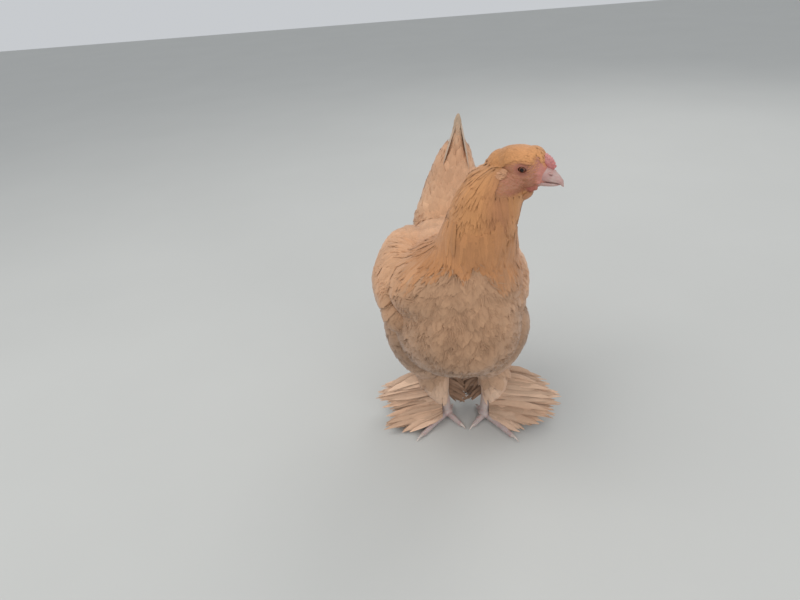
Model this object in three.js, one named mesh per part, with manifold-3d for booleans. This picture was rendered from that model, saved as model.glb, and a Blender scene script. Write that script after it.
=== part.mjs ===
// A life-size still model of a buff brahma pullet. It stands square on both feathered feet, with its
// breast to the front and its head turned to its own left.
// Millimetres, +Z up. The bird faces -Y, its left side is +X, and it stands on the plane Z = 0.
import * as THREE from "three";
import { mergeVertices } from "three/addons/utils/BufferGeometryUtils.js";
import Module from "manifold-3d";

const wasm = await Module();
wasm.setup();
const { MathUtils, Vector3 } = THREE;
const { clamp, degToRad, lerp } = MathUtils;

// Driving dimensions
const CLEARANCE = 0.35; // between pieces that touch
const FLOOR_CLEARANCE = 0.6; // under feathers that reach down beside the feet
const VANE_THICKNESS = 0.9;
const SIDES = { right: -1, left: 1 }; // the bird's right is towards -X

// Torso: rows of [y, middle x, half width, height of the widest line, top, underside], breast first.
const TORSO_ROWS = [
  [-124, 0, 0.4, 203, 203.4, 202.6],
  [-119, -1, 27, 202, 240, 172],
  [-107, -2, 48, 200, 268, 147],
  [-86, -4, 66, 200, 287, 120],
  [-57, -7, 77, 200, 295, 101],
  [-24, -9, 82, 200, 296, 92],
  [12, -10, 84, 200, 294, 90],
  [48, -9, 81, 202, 290, 97],
  [80, -6, 74, 206, 290, 113],
  [106, -2, 61, 214, 290, 138],
  [126, 1, 41, 228, 282, 170],
  [138, 3, 20, 236, 264, 204],
  [142, 3, 0.4, 240, 240.4, 239.6],
];
// 2 is an ellipse, and more is squarer
const TORSO_FULLNESS = { above: 2.6, below: 2.4 };

// Neck with its cape: rows of [z, middle x, middle y, half width, half depth] at the feathers' outer
// face, lowest first.
const NECK_ROWS = [
  [232, -12, -47, 87, 79],
  [256, -11, -43, 82, 74],
  [272, -6, -42, 74, 66],
  [288, 3, -46, 60, 54],
  [306, 14, -60, 47, 42],
  [328, 18, -71, 41, 37],
  [350, 24, -73, 39, 34],
  [366, 31, -72, 38, 32],
  [380, 37, -71, 33, 29],
  [393, 41, -70, 26, 23],
  [402, 44, -69, 12, 12],
];
const NECK_COAT = 6.4; // from the neck's core out to the tips of its feathers
const NECK_CORE_END = 0.86; // share of the way from the head to the cape's border
const HACKLE_TOP_Z = { nape: 388, throat: 362 };
const CAPE_BORDER_Z = { front: 286, side: 247, back: 288 };
const CAPE_OVER = 1.9; // over the torso and the wings
// Rings of hackle feathers: how far down the neck each has its roots and its tips, with their number.
const HACKLE_RINGS = [
  { from: 0, to: 0.33, count: 9 },
  { from: 0.17, to: 0.5, count: 11 },
  { from: 0.34, to: 0.67, count: 12 },
  { from: 0.51, to: 0.83, count: 12 },
  { from: 0.68, to: 1, count: 13 },
];

// Head, in its own frame: +X to the bill, +Y to the bird's left, with the origin between the eyes.
const HEAD_PLACE = new Vector3(67, -75, 401);
const HEAD_TURN = 65; // degrees to the bird's left
const HEAD_DIP = 6; // degrees down
// Rows of [x, half width, height of the widest line, top, underside], nape first.
const HEAD_ROWS = [
  [-32, 0.3, 1, 1.3, 0.7],
  [-30, 7, 1, 8, -7],
  [-24, 13, 0, 14.5, -15],
  [-14, 16.8, -1, 18.5, -22],
  [-3, 17.2, -2, 20, -25],
  [7, 15.6, -2, 18.5, -24],
  [15, 12.4, -4, 14, -20.5],
  [21, 9, -6, 7.5, -17],
  [25, 5, -8, 1, -13.5],
  [27, 0.3, -8, -7.7, -8.3],
];
const HEAD_FULLNESS = { above: 2.2, below: 2.2 };
const MOUTH_Z = -12;
const UPPER_BILL_ROWS = [
  [12, 8.5, -6, 4, MOUTH_Z],
  [20, 8.2, -6, 4, MOUTH_Z],
  [27, 6.8, -7, 2.2, MOUTH_Z],
  [33, 5, -8, -1.6, MOUTH_Z - 0.2],
  [38, 3.2, -9.5, -6, MOUTH_Z - 1],
  [41, 1.5, -12, -10.5, MOUTH_Z - 3.2],
  [42, 0.3, -15, -14.6, -15.4],
];
const LOWER_BILL_ROWS = [
  [12, 7.6, -14, MOUTH_Z - 0.5, -18.5],
  [20, 6.8, -14, MOUTH_Z - 0.5, -18.3],
  [28, 5, -14, MOUTH_Z - 0.5, -17.4],
  [34, 3, -14, MOUTH_Z - 0.8, -16],
  [38, 0.4, -14, MOUTH_Z - 1.4, -14.2],
];
const EYE = { radius: 5.2, x: 1, out: 11.6, z: 0 };
const LID = { radius: 5.9, thickness: 1.3, out: 14.2 };
const BROW = { x: 1, out: 14.2, z: 6.4, half: new Vector3(7.5, 2.4, 1.7) };
const EAR = { x: -18, out: 15, z: -4, radius: 3.6, rim: 1.2, depth: 2.6 };
const LOBE = { x: -16, out: 14.6, z: -13, half: new Vector3(4.4, 2.6, 5.6) };
const NOSTRIL = { x: 29, out: 6, z: -3.6, half: new Vector3(2.6, 2, 0.9) };
const WATTLE_FOLDS = [
  { x: 5, z: -23, half: new Vector3(5.5, 2.2, 5.4) },
  { x: 10, z: -22, half: new Vector3(4.6, 2.6, 5.8) },
  { x: 14, z: -20, half: new Vector3(3.6, 2.2, 4.4) },
];
const WATTLE_OUT = 6;
// The pea comb: three low rows of bulbs on a ridge
const COMB_RIDGE = { x: 15, z: 10, half: new Vector3(10.5, 4.4, 6.4) };
const COMB_ROWS = [
  { out: 0, bulbs: 4, radius: 2.9, rise: 1 },
  { out: 3.2, bulbs: 3, radius: 2.1, rise: 0.82 },
  { out: -3.2, bulbs: 3, radius: 2.1, rise: 0.82 },
];

// Folded wings: rows of [y, distance out, half width, height of the widest line, top, underside], from
// the shoulder back. The right wing is held looser.
const WING_ROWS = [
  [-70, 70, 0.4, 236, 236.4, 235.6],
  [-66, 71, 6, 236, 250, 220],
  [-50, 73, 12, 236, 267, 205],
  [-22, 77, 17, 235, 281, 193],
  [12, 79, 19, 235, 286, 187],
  [46, 77, 17, 237, 282, 192],
  [76, 70, 13, 242, 273, 206],
  [98, 61, 8, 248, 263, 227],
  [108, 56, 4, 250, 256, 242],
  [111, 55, 0.4, 250, 250.4, 249.6],
];
const WING_MIDDLE_X = -12;
const WING_LIFT = { right: 7, left: 0 };
const WING_COAT = 5.4;
const WING_LEAN = 0.5; // how far the upper edge lies in towards the back for its height
const WING_SPAN = [-62, 60]; // degrees up the wing's side that its feathers cover
// Tiers of wing feathers, from the lesser coverts back to the primaries: Y at their roots and tips
const WING_TIERS = [
  { from: -60, to: -18, count: 4 },
  { from: -40, to: 10, count: 5 },
  { from: -14, to: 46, count: 5 },
  { from: 15, to: 78, count: 4 },
  { from: 46, to: 106, count: 3 },
];

// Saddle cone and tail coverts: rows of [z, middle x, middle y, half width, half depth], saddle first.
const TAIL_CONE_ROWS = [
  [258, -5, 94, 58, 36],
  [280, -5, 102, 55, 38],
  [297, -4, 109, 49, 36],
  [316, -5, 118, 40, 30],
  [336, -5, 129, 30, 26],
  [356, -1, 143, 21, 19],
  [374, 4, 155, 8, 12],
  [386, 5, 160, 3, 5],
];
const TAIL_COAT = 6.2;
const TAIL_CORE_TOP_Z = 342;
const COVERT_BASE_Z = { front: 291, side: 273, back: 264 };
const COVERT_TOP_Z = 350;
const COVERT_SPAN = [140, 400]; // degrees, clear of the fan behind
// Rings of tail coverts: how far up the cone each has its roots and its tips
const COVERT_RINGS = [
  { from: 0, to: 0.49, count: 9 },
  { from: 0.25, to: 0.74, count: 8 },
  { from: 0.5, to: 1, count: 7 },
];
// Main tail feathers: a fan on each side of a tent that leans together at the ridge. Each feather lies
// in its own plane inside the one above it.
const TAIL_ROOT = new Vector3(-10, 100, 278);
const TAIL_RIDGE = { x: 5, z: 398 };
const TAIL_FAN = {
  pairs: 6, rise: [67, 34], length: [128, 100], halfWidth: 10, inward: 1.35, lean: 16, ridge: 3,
};
// The pair on the ridge of the tail, face forward
const TAIL_CROWN = { rise: 67, length: 131, halfWidth: 7, apart: 3, over: 11, step: 1.4 };

// Legs: rows of [z, distance out, y, half width, half depth], thigh top first.
const THIGH_ROWS = [
  [198, 58, 0, 20, 34],
  [180, 59, 0, 34, 46],
  [152, 58, 2, 38, 50],
  [126, 52, 4, 36, 46],
  [104, 45, 6, 32, 36],
  [88, 41, 8, 25, 26],
  [76, 41, 9, 19, 19],
];
const THIGH_MIDDLE_X = -9;
// Feathered shank, at its feathers' outer face: the same kind of row, under the thigh.
const PLUME_ROWS = [
  [92, 42, 10, 19, 18],
  [66, 43, 6, 22, 19],
  [46, 40, 3, 17, 15],
  [32, 35, 1, 11, 10],
  [24, 33, 0, 9, 8],
];
const PLUME_COAT = 5.2;
const PLUME_CORE_END_Z = 40;
const PLUME_SPAN = [52, 308]; // degrees round the shank from straight out, clear of the fan's roots
const PLUME_RINGS = [
  { from: 62, to: 28, count: 4 },
  { from: 82, to: 46, count: 4 },
];
const HOCK = { out: 33, y: 12, z: 90 };
const ANKLE = { out: 28, z: 12 };
const SHANK_RADIUS = 6.6;
const SHANK_SCUTES = { count: 3, low: 19, step: 6.4, half: new Vector3(4.6, 1.6, 2.5) };
const PAD_HALF = new Vector3(10, 10, 9.6);
const PAD_Z = 8.5;
const TOE_BASE_RADIUS = 5.4;
const TOE_END_RADIUS = 3.4;
const TOE_END_Z = 3;
const FEET = {
  right: { y: 2.5, reach: { inner: 32, middle: 56, outer: 44, hind: 17 } },
  left: { y: -2.7, reach: { inner: 27, middle: 56, outer: 44, hind: 20 } },
};
// Each toe turns outward from straight ahead, in degrees. FEET holds its length without the claw.
const TOES = [
  { name: "inner", turn: -39.5, claw: 10, scutes: 3 },
  { name: "middle", turn: 38, claw: 14, scutes: 6 },
  { name: "outer", turn: 86, claw: 11, scutes: 0 },
  { name: "hind", turn: -155, claw: 9, scutes: 1 },
];
const TOE_SCUTE_HALF = new Vector3(2.5, 3.9, 1.5);
const CLAW = { rootRadius: 2.6, tipRadius: 0.4, tipZ: 1, overlap: 0.4 };
// Fans of feathers beside each foot: bearings in degrees from straight out, forward positive, reach from
// the root, heights at the root and at a full reach, and how high they arch between. Each feather lies a
// little below the one behind it.
const SHANK_FANS = [
  { out: 40, y: 4, count: 4, bearings: [-11, 14], reach: [78, 86], root: 50, end: 26, arch: 7 },
  { out: 36, y: 2, count: 3, bearings: [2, 20], reach: [90, 90], root: 31, end: 17, arch: 6 },
];
const FOOT_FANS = [
  { out: 28, y: 0, count: 5, bearings: [4, 37], reach: [92, 68], root: 13.5, end: 10, arch: 5 },
];
const FAN_BELOW = 1.4;
const FAN_HALF_WIDTH = 10;

// Numbers between 0 and 1 that are the same on every run
function seededDraw(seed) {
  let state = seed;
  return () => {
    state = (state * 1664525 + 1013904223) % 4294967296;
    return state / 4294967296;
  };
}
const draw = seededDraw(11);
const varied = (value, share) => value * (1 + share * (2 * draw() - 1));

// Rows along a form, eased into more rows by a Catmull-Rom curve through them
function easeRows(rows, count) {
  const last = rows.length - 1;
  return Array.from({ length: count }, (_, i) => easedRow(rows, (i / (count - 1)) * last));
}

function easedRow(rows, u) {
  const last = rows.length - 1;
  const k = clamp(Math.floor(u), 0, last - 1);
  const t = u - k;
  return rows[0].map((_, column) => {
    const [a, b, c, d] = [k - 1, k, k + 1, k + 2].map((j) => rows[clamp(j, 0, last)][column]);
    const bend = (2 * a - 5 * b + 4 * c - d) * t * t + (3 * b - a - 3 * c + d) * t ** 3;
    return 0.5 * (2 * b + (c - a) * t + bend);
  });
}

// The row at one station of a form, between the two rows beside it
const DENSE = 193;
function rowFinder(rows) {
  const dense = easeRows(rows, DENSE);
  const rising = dense.at(-1)[0] > dense[0][0];
  return (station) => {
    const after = dense.findIndex((row) => (rising ? row[0] >= station : row[0] <= station));
    const k = clamp(after === -1 ? DENSE - 1 : after, 1, DENSE - 1);
    const [a, b] = [dense[k - 1], dense[k]];
    const t = clamp((station - a[0]) / (b[0] - a[0]), 0, 1);
    return a.map((value, column) => lerp(value, b[column], t));
  };
}

// A point's share of a superellipse's half axis
const OVAL = { above: 2, below: 2 };
function bulge(value, fullness) {
  return Math.sign(value) * Math.abs(value) ** (2 / fullness);
}

// A geometry of points and triangles, turned right side out
function facingOut(points, index) {
  let volume = 0;
  const cross = new Vector3();
  for (let i = 0; i < index.length; i += 3) {
    const [a, b, c] = [points[index[i]], points[index[i + 1]], points[index[i + 2]]];
    volume += cross.crossVectors(b, c).dot(a);
  }
  if (volume < 0) index.reverse();
  return new THREE.BufferGeometry().setFromPoints(points).setIndex(index);
}

// A closed skin over rings of equal point counts, with a point in the middle of each end
function skin(rings) {
  const sides = rings[0].length;
  const points = rings.flat();
  const middleOf = (ring) => ring.reduce((sum, p) => sum.add(p), new Vector3()).divideScalar(sides);
  points.push(middleOf(rings[0]), middleOf(rings.at(-1)));
  const index = [];
  for (let i = 0; i + 1 < rings.length; i++) {
    for (let j = 0; j < sides; j++) {
      const a = i * sides + j;
      const b = i * sides + ((j + 1) % sides);
      index.push(a, b, b + sides, a, b + sides, a + sides);
    }
  }
  const lastRing = (rings.length - 1) * sides;
  for (let j = 0; j < sides; j++) {
    const next = (j + 1) % sides;
    index.push(next, j, points.length - 2);
    index.push(lastRing + j, lastRing + next, points.length - 1);
  }
  return facingOut(points, index);
}

// A point on a form that lies along Y, at an angle about its middle line
function lyingPoint([station, middle, halfWidth, widest, top, underside], angle, fullness) {
  const upper = Math.sin(angle) > 0;
  const rise = upper ? top - widest : widest - underside;
  const power = upper ? fullness.above : fullness.below;
  const across = middle + halfWidth * bulge(Math.cos(angle), power);
  return new Vector3(across, station, widest + rise * bulge(Math.sin(angle), power));
}

function lyingRing(row, sides, fullness) {
  return Array.from({ length: sides }, (_, j) => lyingPoint(row, (j / sides) * 2 * Math.PI, fullness));
}

// A point on an upright form, at an angle about its middle line
function uprightPoint([z, x, y, halfWidth, halfDepth], angle) {
  return new Vector3(x + halfWidth * Math.cos(angle), y + halfDepth * Math.sin(angle), z);
}

function uprightRing(row, sides) {
  return Array.from({ length: sides }, (_, j) => uprightPoint(row, (j / sides) * 2 * Math.PI));
}

// An upright form from its rows
function uprightForm(rows, count, sides) {
  return skin(easeRows(rows, count).map((row) => uprightRing(row, sides)));
}

// A form of the head, from rows along X that are the same on both sides
function headForm(rows, count, sides, fullness) {
  const rings = easeRows(rows, count).map(([x, ...rest]) => lyingRing([x, 0, ...rest], sides, fullness));
  return skin(rings.map((ring) => ring.map(({ x, y, z }) => new Vector3(y, x, z))));
}

function ellipsoid(middle, half, segments = 12, rows = 8) {
  const ball = new THREE.SphereGeometry(1, segments, rows);
  return ball.scale(half.x, half.y, half.z).translate(middle.x, middle.y, middle.z);
}

// A four-sided plate that narrows upwards, of half sizes along X, Y and Z
function scutePlate(halfX, halfY, halfZ) {
  const plate = new THREE.CylinderGeometry(0.72, 1, 2, 4, 1).rotateX(Math.PI / 2).rotateZ(Math.PI / 4);
  return plate.scale(halfX * Math.SQRT2, halfY * Math.SQRT2, halfZ);
}

// A straight round rod that tapers
function taper(from, to, radiusFrom, radiusTo, sides, steps) {
  const along = new Vector3().subVectors(to, from).normalize();
  const across = new Vector3().crossVectors(along, new Vector3(0, 0.2, 1)).normalize();
  const up = new Vector3().crossVectors(across, along);
  const rings = Array.from({ length: steps + 1 }, (_, i) => {
    const t = i / steps;
    const radius = lerp(radiusFrom, radiusTo, t);
    return Array.from({ length: sides }, (_, j) => {
      const angle = ((j + 0.5) / sides) * 2 * Math.PI;
      const point = new Vector3().lerpVectors(from, to, t);
      point.addScaledVector(across, radius * Math.cos(angle));
      return point.addScaledVector(up, radius * Math.sin(angle));
    });
  });
  return skin(rings);
}

// A feather's outline from root to tip: shares of its length and of its half width
const SOFT_OUTLINE = [[0, 0.3], [0.12, 0.62], [0.62, 0.97], [1, 0.12]];
const BROAD_OUTLINE = [[0, 0.3], [0.12, 0.55], [0.84, 0.98], [1, 0.4]];
const CROWN_OUTLINE = [[0, 1], [0.72, 0.9], [0.93, 0.55], [1, 0.2]];
const FAN_OUTLINE = [[0, 0.3], [0.12, 0.55], [0.48, 0.85], [0.86, 0.98], [1, 0.4]];

// A thin blade of four corners a station, split alike on both faces
function blade(stations) {
  const points = stations.flatMap(({ at, across, facing }) => {
    return [[1, 1], [-1, 1], [-1, -1], [1, -1]].map(([edge, face]) => {
      return at.clone().addScaledVector(across, edge).addScaledVector(facing, (face * VANE_THICKNESS) / 2);
    });
  });
  const index = [];
  for (let i = 0; i + 1 < stations.length; i++) {
    const [a, b, c, d] = [0, 1, 2, 3].map((corner) => i * 4 + corner);
    const [e, f, g, h] = [a, b, c, d].map((corner) => corner + 4);
    index.push(a, b, f, a, f, e, d, g, c, d, h, g, b, c, g, b, g, f, a, e, h, a, h, d);
  }
  const end = (stations.length - 1) * 4;
  index.push(0, 3, 2, 0, 2, 1, end, end + 1, end + 2, end, end + 2, end + 3);
  return facingOut(points, index);
}

// A feather laid over a surface of two parameters, from its root to its tip. Its heights over the surface
// are those of its sunk root, of its vane where it comes out, and of its tip. It is handed -1 where the
// parameters turn left-handed about the way out.
const SLOPE_STEP = 0.02;
const FLAT = [0, 0, 0];
function feather(surface, root, tip, { halfWidthAt, outline = SOFT_OUTLINE, heights = FLAT, handed = 1 }) {
  const pointAt = (t) => surface(lerp(root[0], tip[0], t), lerp(root[1], tip[1], t));
  const stations = outline.map(([t, share]) => {
    const [u, v] = [lerp(root[0], tip[0], t), lerp(root[1], tip[1], t)];
    const along = pointAt(t + SLOPE_STEP).sub(pointAt(t - SLOPE_STEP)).normalize();
    const slopeU = surface(u + SLOPE_STEP, v).sub(surface(u - SLOPE_STEP, v));
    const slopeV = surface(u, v + SLOPE_STEP).sub(surface(u, v - SLOPE_STEP));
    const facing = slopeU.cross(slopeV).multiplyScalar(handed).normalize();
    facing.addScaledVector(along, -facing.dot(along)).normalize();
    const across = new Vector3().crossVectors(facing, along).multiplyScalar(share * halfWidthAt(u, v));
    const height = t < outline[1][0] ? heights[0] : lerp(heights[1], heights[2], t);
    return { at: pointAt(t).addScaledVector(facing, height), across, facing };
  });
  return blade(stations);
}

// Rings of feathers over a surface. In a ring they lie side by side, each as wide as its neighbours
// leave it, and each ring's tips lie over the next ring's roots.
const VANE_HEIGHTS = [-2.6, -0.3, 6]; // at the sunk root, where the vane comes out, and at the tip
const RING_GAP = 1;
function tract(surface, rings, { span = [0, 360], handed = 1, outline }) {
  return rings.flatMap(({ from, to, count }, ring) => {
    const step = (span[1] - span[0]) / count;
    const shift = span[1] - span[0] === 360 ? (ring % 2) / 2 : 0;
    const halfWidthAt = (u, v) => {
      return (surface(u, v + step / 2).distanceTo(surface(u, v - step / 2)) - RING_GAP) / 2;
    };
    return Array.from({ length: count }, (_, i) => {
      const v = span[0] + (i + 0.5 + shift) * step;
      const tip = from + varied(to - from, 0.05);
      const shape = { halfWidthAt, outline, heights: VANE_HEIGHTS, handed };
      return feather(surface, [from, v], [tip, v], shape);
    });
  });
}

// The same form grown outwards by a distance, to cut its neighbours clear of it
function swollen(geometry, distance = CLEARANCE) {
  const grown = bare(geometry);
  grown.computeVertexNormals();
  const { position, normal } = grown.attributes;
  const point = new Vector3();
  const outward = new Vector3();
  for (let i = 0; i < position.count; i++) {
    outward.fromBufferAttribute(normal, i);
    point.fromBufferAttribute(position, i).addScaledVector(outward, distance);
    position.setXYZ(i, point.x, point.y, point.z);
  }
  return grown;
}

// A geometry with only its positions, its shared corners merged
function bare(geometry) {
  const copy = geometry.clone();
  copy.deleteAttribute("normal");
  copy.deleteAttribute("uv");
  return mergeVertices(copy, 1e-4);
}

function solid(geometry) {
  const merged = bare(geometry);
  const vertProperties = merged.attributes.position.array;
  const triVerts = new Uint32Array(merged.index.array);
  return new wasm.Manifold(new wasm.Mesh({ numProp: 3, vertProperties, triVerts }));
}

function fuse(geometries) {
  return wasm.Manifold.union(geometries.map(solid));
}

// A solid cut clear of its neighbours' forms
function clearOf(made, forms) {
  return forms.reduce((left, form) => left.subtract(solid(swollen(form))), made);
}

// The largest closed body of a solid, as a geometry
function finished(made) {
  const bodies = made.decompose().sort((a, b) => b.volume() - a.volume());
  const { vertProperties, triVerts, numProp, numVert } = bodies[0].getMesh();
  const positions = new Float32Array(numVert * 3);
  for (let i = 0; i < numVert; i++) {
    positions.set(vertProperties.subarray(i * numProp, i * numProp + 3), i * 3);
  }
  const geometry = new THREE.BufferGeometry();
  geometry.setAttribute("position", new THREE.BufferAttribute(positions, 3));
  geometry.setIndex(new THREE.BufferAttribute(triVerts, 1));
  return geometry;
}

const FINISHES = {
  hackle: { color: 0xb9834f, roughness: 0.9 },
  plumage: { color: 0xc49a6c, roughness: 0.95 },
  face: { color: 0xb9705f, roughness: 0.6 },
  comb: { color: 0xb85a58, roughness: 0.55 },
  bill: { color: 0xcbb0a2, roughness: 0.45 },
  eye: { color: 0x4a2a18, roughness: 0.1 },
  scale: { color: 0xb8a898, roughness: 0.6 },
  claw: { color: 0xcfc4b8, roughness: 0.4 },
};

function piece(name, made, finish) {
  const geometry = made instanceof THREE.BufferGeometry ? made : finished(made);
  const material = new THREE.MeshStandardMaterial({ metalness: 0, ...FINISHES[finish] });
  const mesh = new THREE.Mesh(geometry, material);
  mesh.name = name;
  return mesh;
}

// A value that changes round an upright form from its front over its sides to its back
function round(degrees, { front, side, back }) {
  const share = Math.sin(degToRad(degrees));
  return lerp(side, share < 0 ? front : back, Math.abs(share) ** 1.5);
}

// How far out a point is along a lying form's half axes: under 1 inside, and 1 on its surface
function lyingShare(rowAt, first, last, fullness) {
  return ({ x, y, z }) => {
    if (y <= first || y >= last) return Infinity;
    const [, middle, halfWidth, widest, top, underside] = rowAt(y);
    const u = Math.abs(x - middle) / halfWidth;
    const v = Math.abs(z - widest) / (z > widest ? top - widest : widest - underside);
    const power = z > widest ? fullness.above : fullness.below;
    return (u ** power + v ** power) ** (1 / power);
  };
}

// Moves a point out of a form until it stands at a distance over the surface
function movedOut(point, shareAt, distance) {
  const step = 0.5;
  for (let round = 0; round < 4; round++) {
    const share = shareAt(point);
    if (!Number.isFinite(share)) return point;
    const slope = new Vector3(...["x", "y", "z"].map((axis) => {
      const beside = point.clone();
      beside[axis] += step;
      return (Math.min(shareAt(beside), share + 1) - share) / step;
    }));
    const short = distance - (share - 1) / slope.length();
    if (short <= 0) return point;
    point.addScaledVector(slope, short / slope.length());
  }
  return point;
}

const bird = new THREE.Group();

// Torso
const torsoForm = skin(easeRows(TORSO_ROWS, 18).map((row) => lyingRing(row, 22, TORSO_FULLNESS)));
const torsoShare = lyingShare(rowFinder(TORSO_ROWS), TORSO_ROWS[0][0], TORSO_ROWS.at(-1)[0], TORSO_FULLNESS);
bird.add(piece("torso", torsoForm, "plumage"));

// Saddle cone at the root of the tail
const tailCore = skin(
  easeRows(TAIL_CONE_ROWS, 10)
    .filter(([z]) => z < TAIL_CORE_TOP_Z)
    .map(([z, x, y, w, d]) => uprightRing([z, x, y, w - TAIL_COAT, d - TAIL_COAT], 16)),
);

// Wings
function wingRowsOf(name, coat) {
  const side = SIDES[name];
  return WING_ROWS.map(([y, out, halfWidth, widest, top, underside]) => {
    const middle = WING_MIDDLE_X + side * (out + WING_LIFT[name]);
    const thin = Math.min(coat, halfWidth / 2);
    return [y, middle, halfWidth - thin, widest, top - thin, underside + thin];
  });
}

// Leans a point of an upright wing form in towards the back, or stands it up again for a share of -1
function leaned(point, side, widest, share = 1) {
  point.x -= share * side * WING_LEAN * Math.max(0, point.z - widest);
  return point;
}

const wingCores = {};
const wingShares = {};
for (const [name, side] of Object.entries(SIDES)) {
  const coreRows = wingRowsOf(name, WING_COAT);
  const coreRowAt = rowFinder(coreRows);
  const rowAt = rowFinder(wingRowsOf(name, 0));
  wingCores[name] = skin(
    easeRows(coreRows, 11).map((row) => lyingRing(row, 12, OVAL).map((point) => leaned(point, side, row[3]))),
  );
  const uprightShare = lyingShare(rowAt, WING_ROWS[0][0], WING_ROWS.at(-1)[0], OVAL);
  wingShares[name] = (point) => uprightShare(leaned(point.clone(), side, rowAt(point.y)[3], -1));
  const surface = (y, degrees) => {
    const row = coreRowAt(y);
    const angle = degToRad(side > 0 ? degrees : 180 - degrees);
    return leaned(lyingPoint(row, angle, OVAL).setY(y), side, row[3]);
  };
  const vanes = tract(surface, WING_TIERS, { span: WING_SPAN, handed: side, outline: BROAD_OUTLINE });
  const wing = clearOf(fuse([wingCores[name], ...vanes]), [torsoForm, tailCore]);
  bird.add(piece(`wing_${name}`, wing, "plumage"));
}

// Tail
const tailRowAt = rowFinder(TAIL_CONE_ROWS);
const tailSurface = (up, degrees) => {
  const z = lerp(round(degrees, COVERT_BASE_Z), COVERT_TOP_Z, up);
  const [, x, y, w, d] = tailRowAt(z);
  return uprightPoint([z, x, y, w - TAIL_COAT, d - TAIL_COAT], degToRad(degrees));
};
const coverts = tract(tailSurface, COVERT_RINGS, { span: COVERT_SPAN, handed: -1 });
const mainFeathers = Object.values(SIDES).flatMap((side) => {
  return Array.from({ length: TAIL_FAN.pairs }, (_, i) => {
    const t = i / (TAIL_FAN.pairs - 1);
    const surface = (rise, reach) => {
      const angle = degToRad(rise);
      const z = TAIL_ROOT.z + reach * Math.sin(angle);
      const middle = lerp(TAIL_ROOT.x, TAIL_RIDGE.x, (z - TAIL_ROOT.z) / (TAIL_RIDGE.z - TAIL_ROOT.z));
      const lean = (TAIL_RIDGE.z - z) * Math.tan(degToRad(TAIL_FAN.lean));
      const out = TAIL_FAN.ridge - TAIL_FAN.inward * i + lean;
      return new Vector3(middle + side * out, TAIL_ROOT.y + reach * Math.cos(angle), z);
    };
    const rise = lerp(...TAIL_FAN.rise, t);
    const shape = { halfWidthAt: () => TAIL_FAN.halfWidth, outline: BROAD_OUTLINE };
    return feather(surface, [rise, 20], [rise, varied(lerp(...TAIL_FAN.length, t), 0.01)], shape);
  });
});
const crownFeathers = Object.values(SIDES).map((side, i) => {
  const angle = degToRad(TAIL_CROWN.rise);
  const over = TAIL_CROWN.over + TAIL_CROWN.step * i;
  const surface = (across, reach) => {
    const y = TAIL_ROOT.y + reach * Math.cos(angle) - over * Math.sin(angle);
    const x = lerp(TAIL_ROOT.x, TAIL_RIDGE.x, reach / TAIL_CROWN.length) + across;
    return new Vector3(x, y, TAIL_ROOT.z + reach * Math.sin(angle) + over * Math.cos(angle));
  };
  const shape = { halfWidthAt: () => TAIL_CROWN.halfWidth, outline: CROWN_OUTLINE };
  const across = side * TAIL_CROWN.apart;
  return feather(surface, [across, 40], [across, TAIL_CROWN.length - 4 * i], shape);
});
const tailForms = [tailCore, ...coverts, ...mainFeathers, ...crownFeathers];
bird.add(piece("tail", clearOf(fuse(tailForms), [torsoForm]), "plumage"));

// Head parts
const headFrame = new THREE.Group();
headFrame.position.copy(HEAD_PLACE);
headFrame.rotation.set(0, degToRad(HEAD_DIP), degToRad(HEAD_TURN - 90), "ZYX");
headFrame.updateMatrixWorld(true);
bird.add(headFrame);
const skull = headForm(HEAD_ROWS, 12, 14, HEAD_FULLNESS);
const upperBill = headForm(UPPER_BILL_ROWS, 8, 8, OVAL);
const lowerBill = headForm(LOWER_BILL_ROWS, 6, 8, OVAL);
const besideNeck = [skull];
const onSkull = [];
const intoSkull = [];
const eyeForms = [];
for (const [name, side] of Object.entries(SIDES)) {
  const placed = ({ x, out, z }) => new Vector3(x, side * out, z);
  const eye = new THREE.SphereGeometry(EYE.radius, 10, 6).translate(EYE.x, side * EYE.out, EYE.z);
  eyeForms.push(eye);
  headFrame.add(piece(`eye_${name}`, bare(eye), "eye"));

  const ring = (radius, thickness) => new THREE.TorusGeometry(radius, thickness, 4, 11).rotateX(Math.PI / 2);
  const lid = ring(LID.radius, LID.thickness).translate(EYE.x, side * LID.out, EYE.z);
  const earRim = ring(EAR.radius, EAR.rim).translate(EAR.x, side * EAR.out, EAR.z);
  onSkull.push(lid, earRim, ellipsoid(placed(BROW), BROW.half, 8, 4));
  intoSkull.push(ellipsoid(placed(EAR), new Vector3(EAR.radius - 1, EAR.depth, EAR.radius - 1), 8, 5));

  const lobe = ellipsoid(placed(LOBE), LOBE.half, 8, 6);
  headFrame.add(piece(`earlobe_${name}`, clearOf(solid(lobe), [skull, earRim]), "face"));
  const folds = WATTLE_FOLDS.map(({ x, z, half }) => {
    return ellipsoid(new Vector3(x, side * WATTLE_OUT, z), half, 7, 4);
  });
  headFrame.add(piece(`wattle_${name}`, clearOf(fuse(folds), [skull, lowerBill]), "comb"));
  besideNeck.push(lobe, ...folds, earRim);
}
const nostrils = Object.values(SIDES).map((side) => {
  return ellipsoid(new Vector3(NOSTRIL.x, side * NOSTRIL.out, NOSTRIL.z), NOSTRIL.half, 6, 4);
});
const upperSolid = clearOf(solid(upperBill), [skull]);
const pierced = nostrils.reduce((left, nostril) => left.subtract(solid(nostril)), upperSolid);
headFrame.add(piece("bill_upper", pierced, "bill"));
headFrame.add(piece("bill_lower", clearOf(solid(lowerBill), [skull, upperBill]), "bill"));

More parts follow.
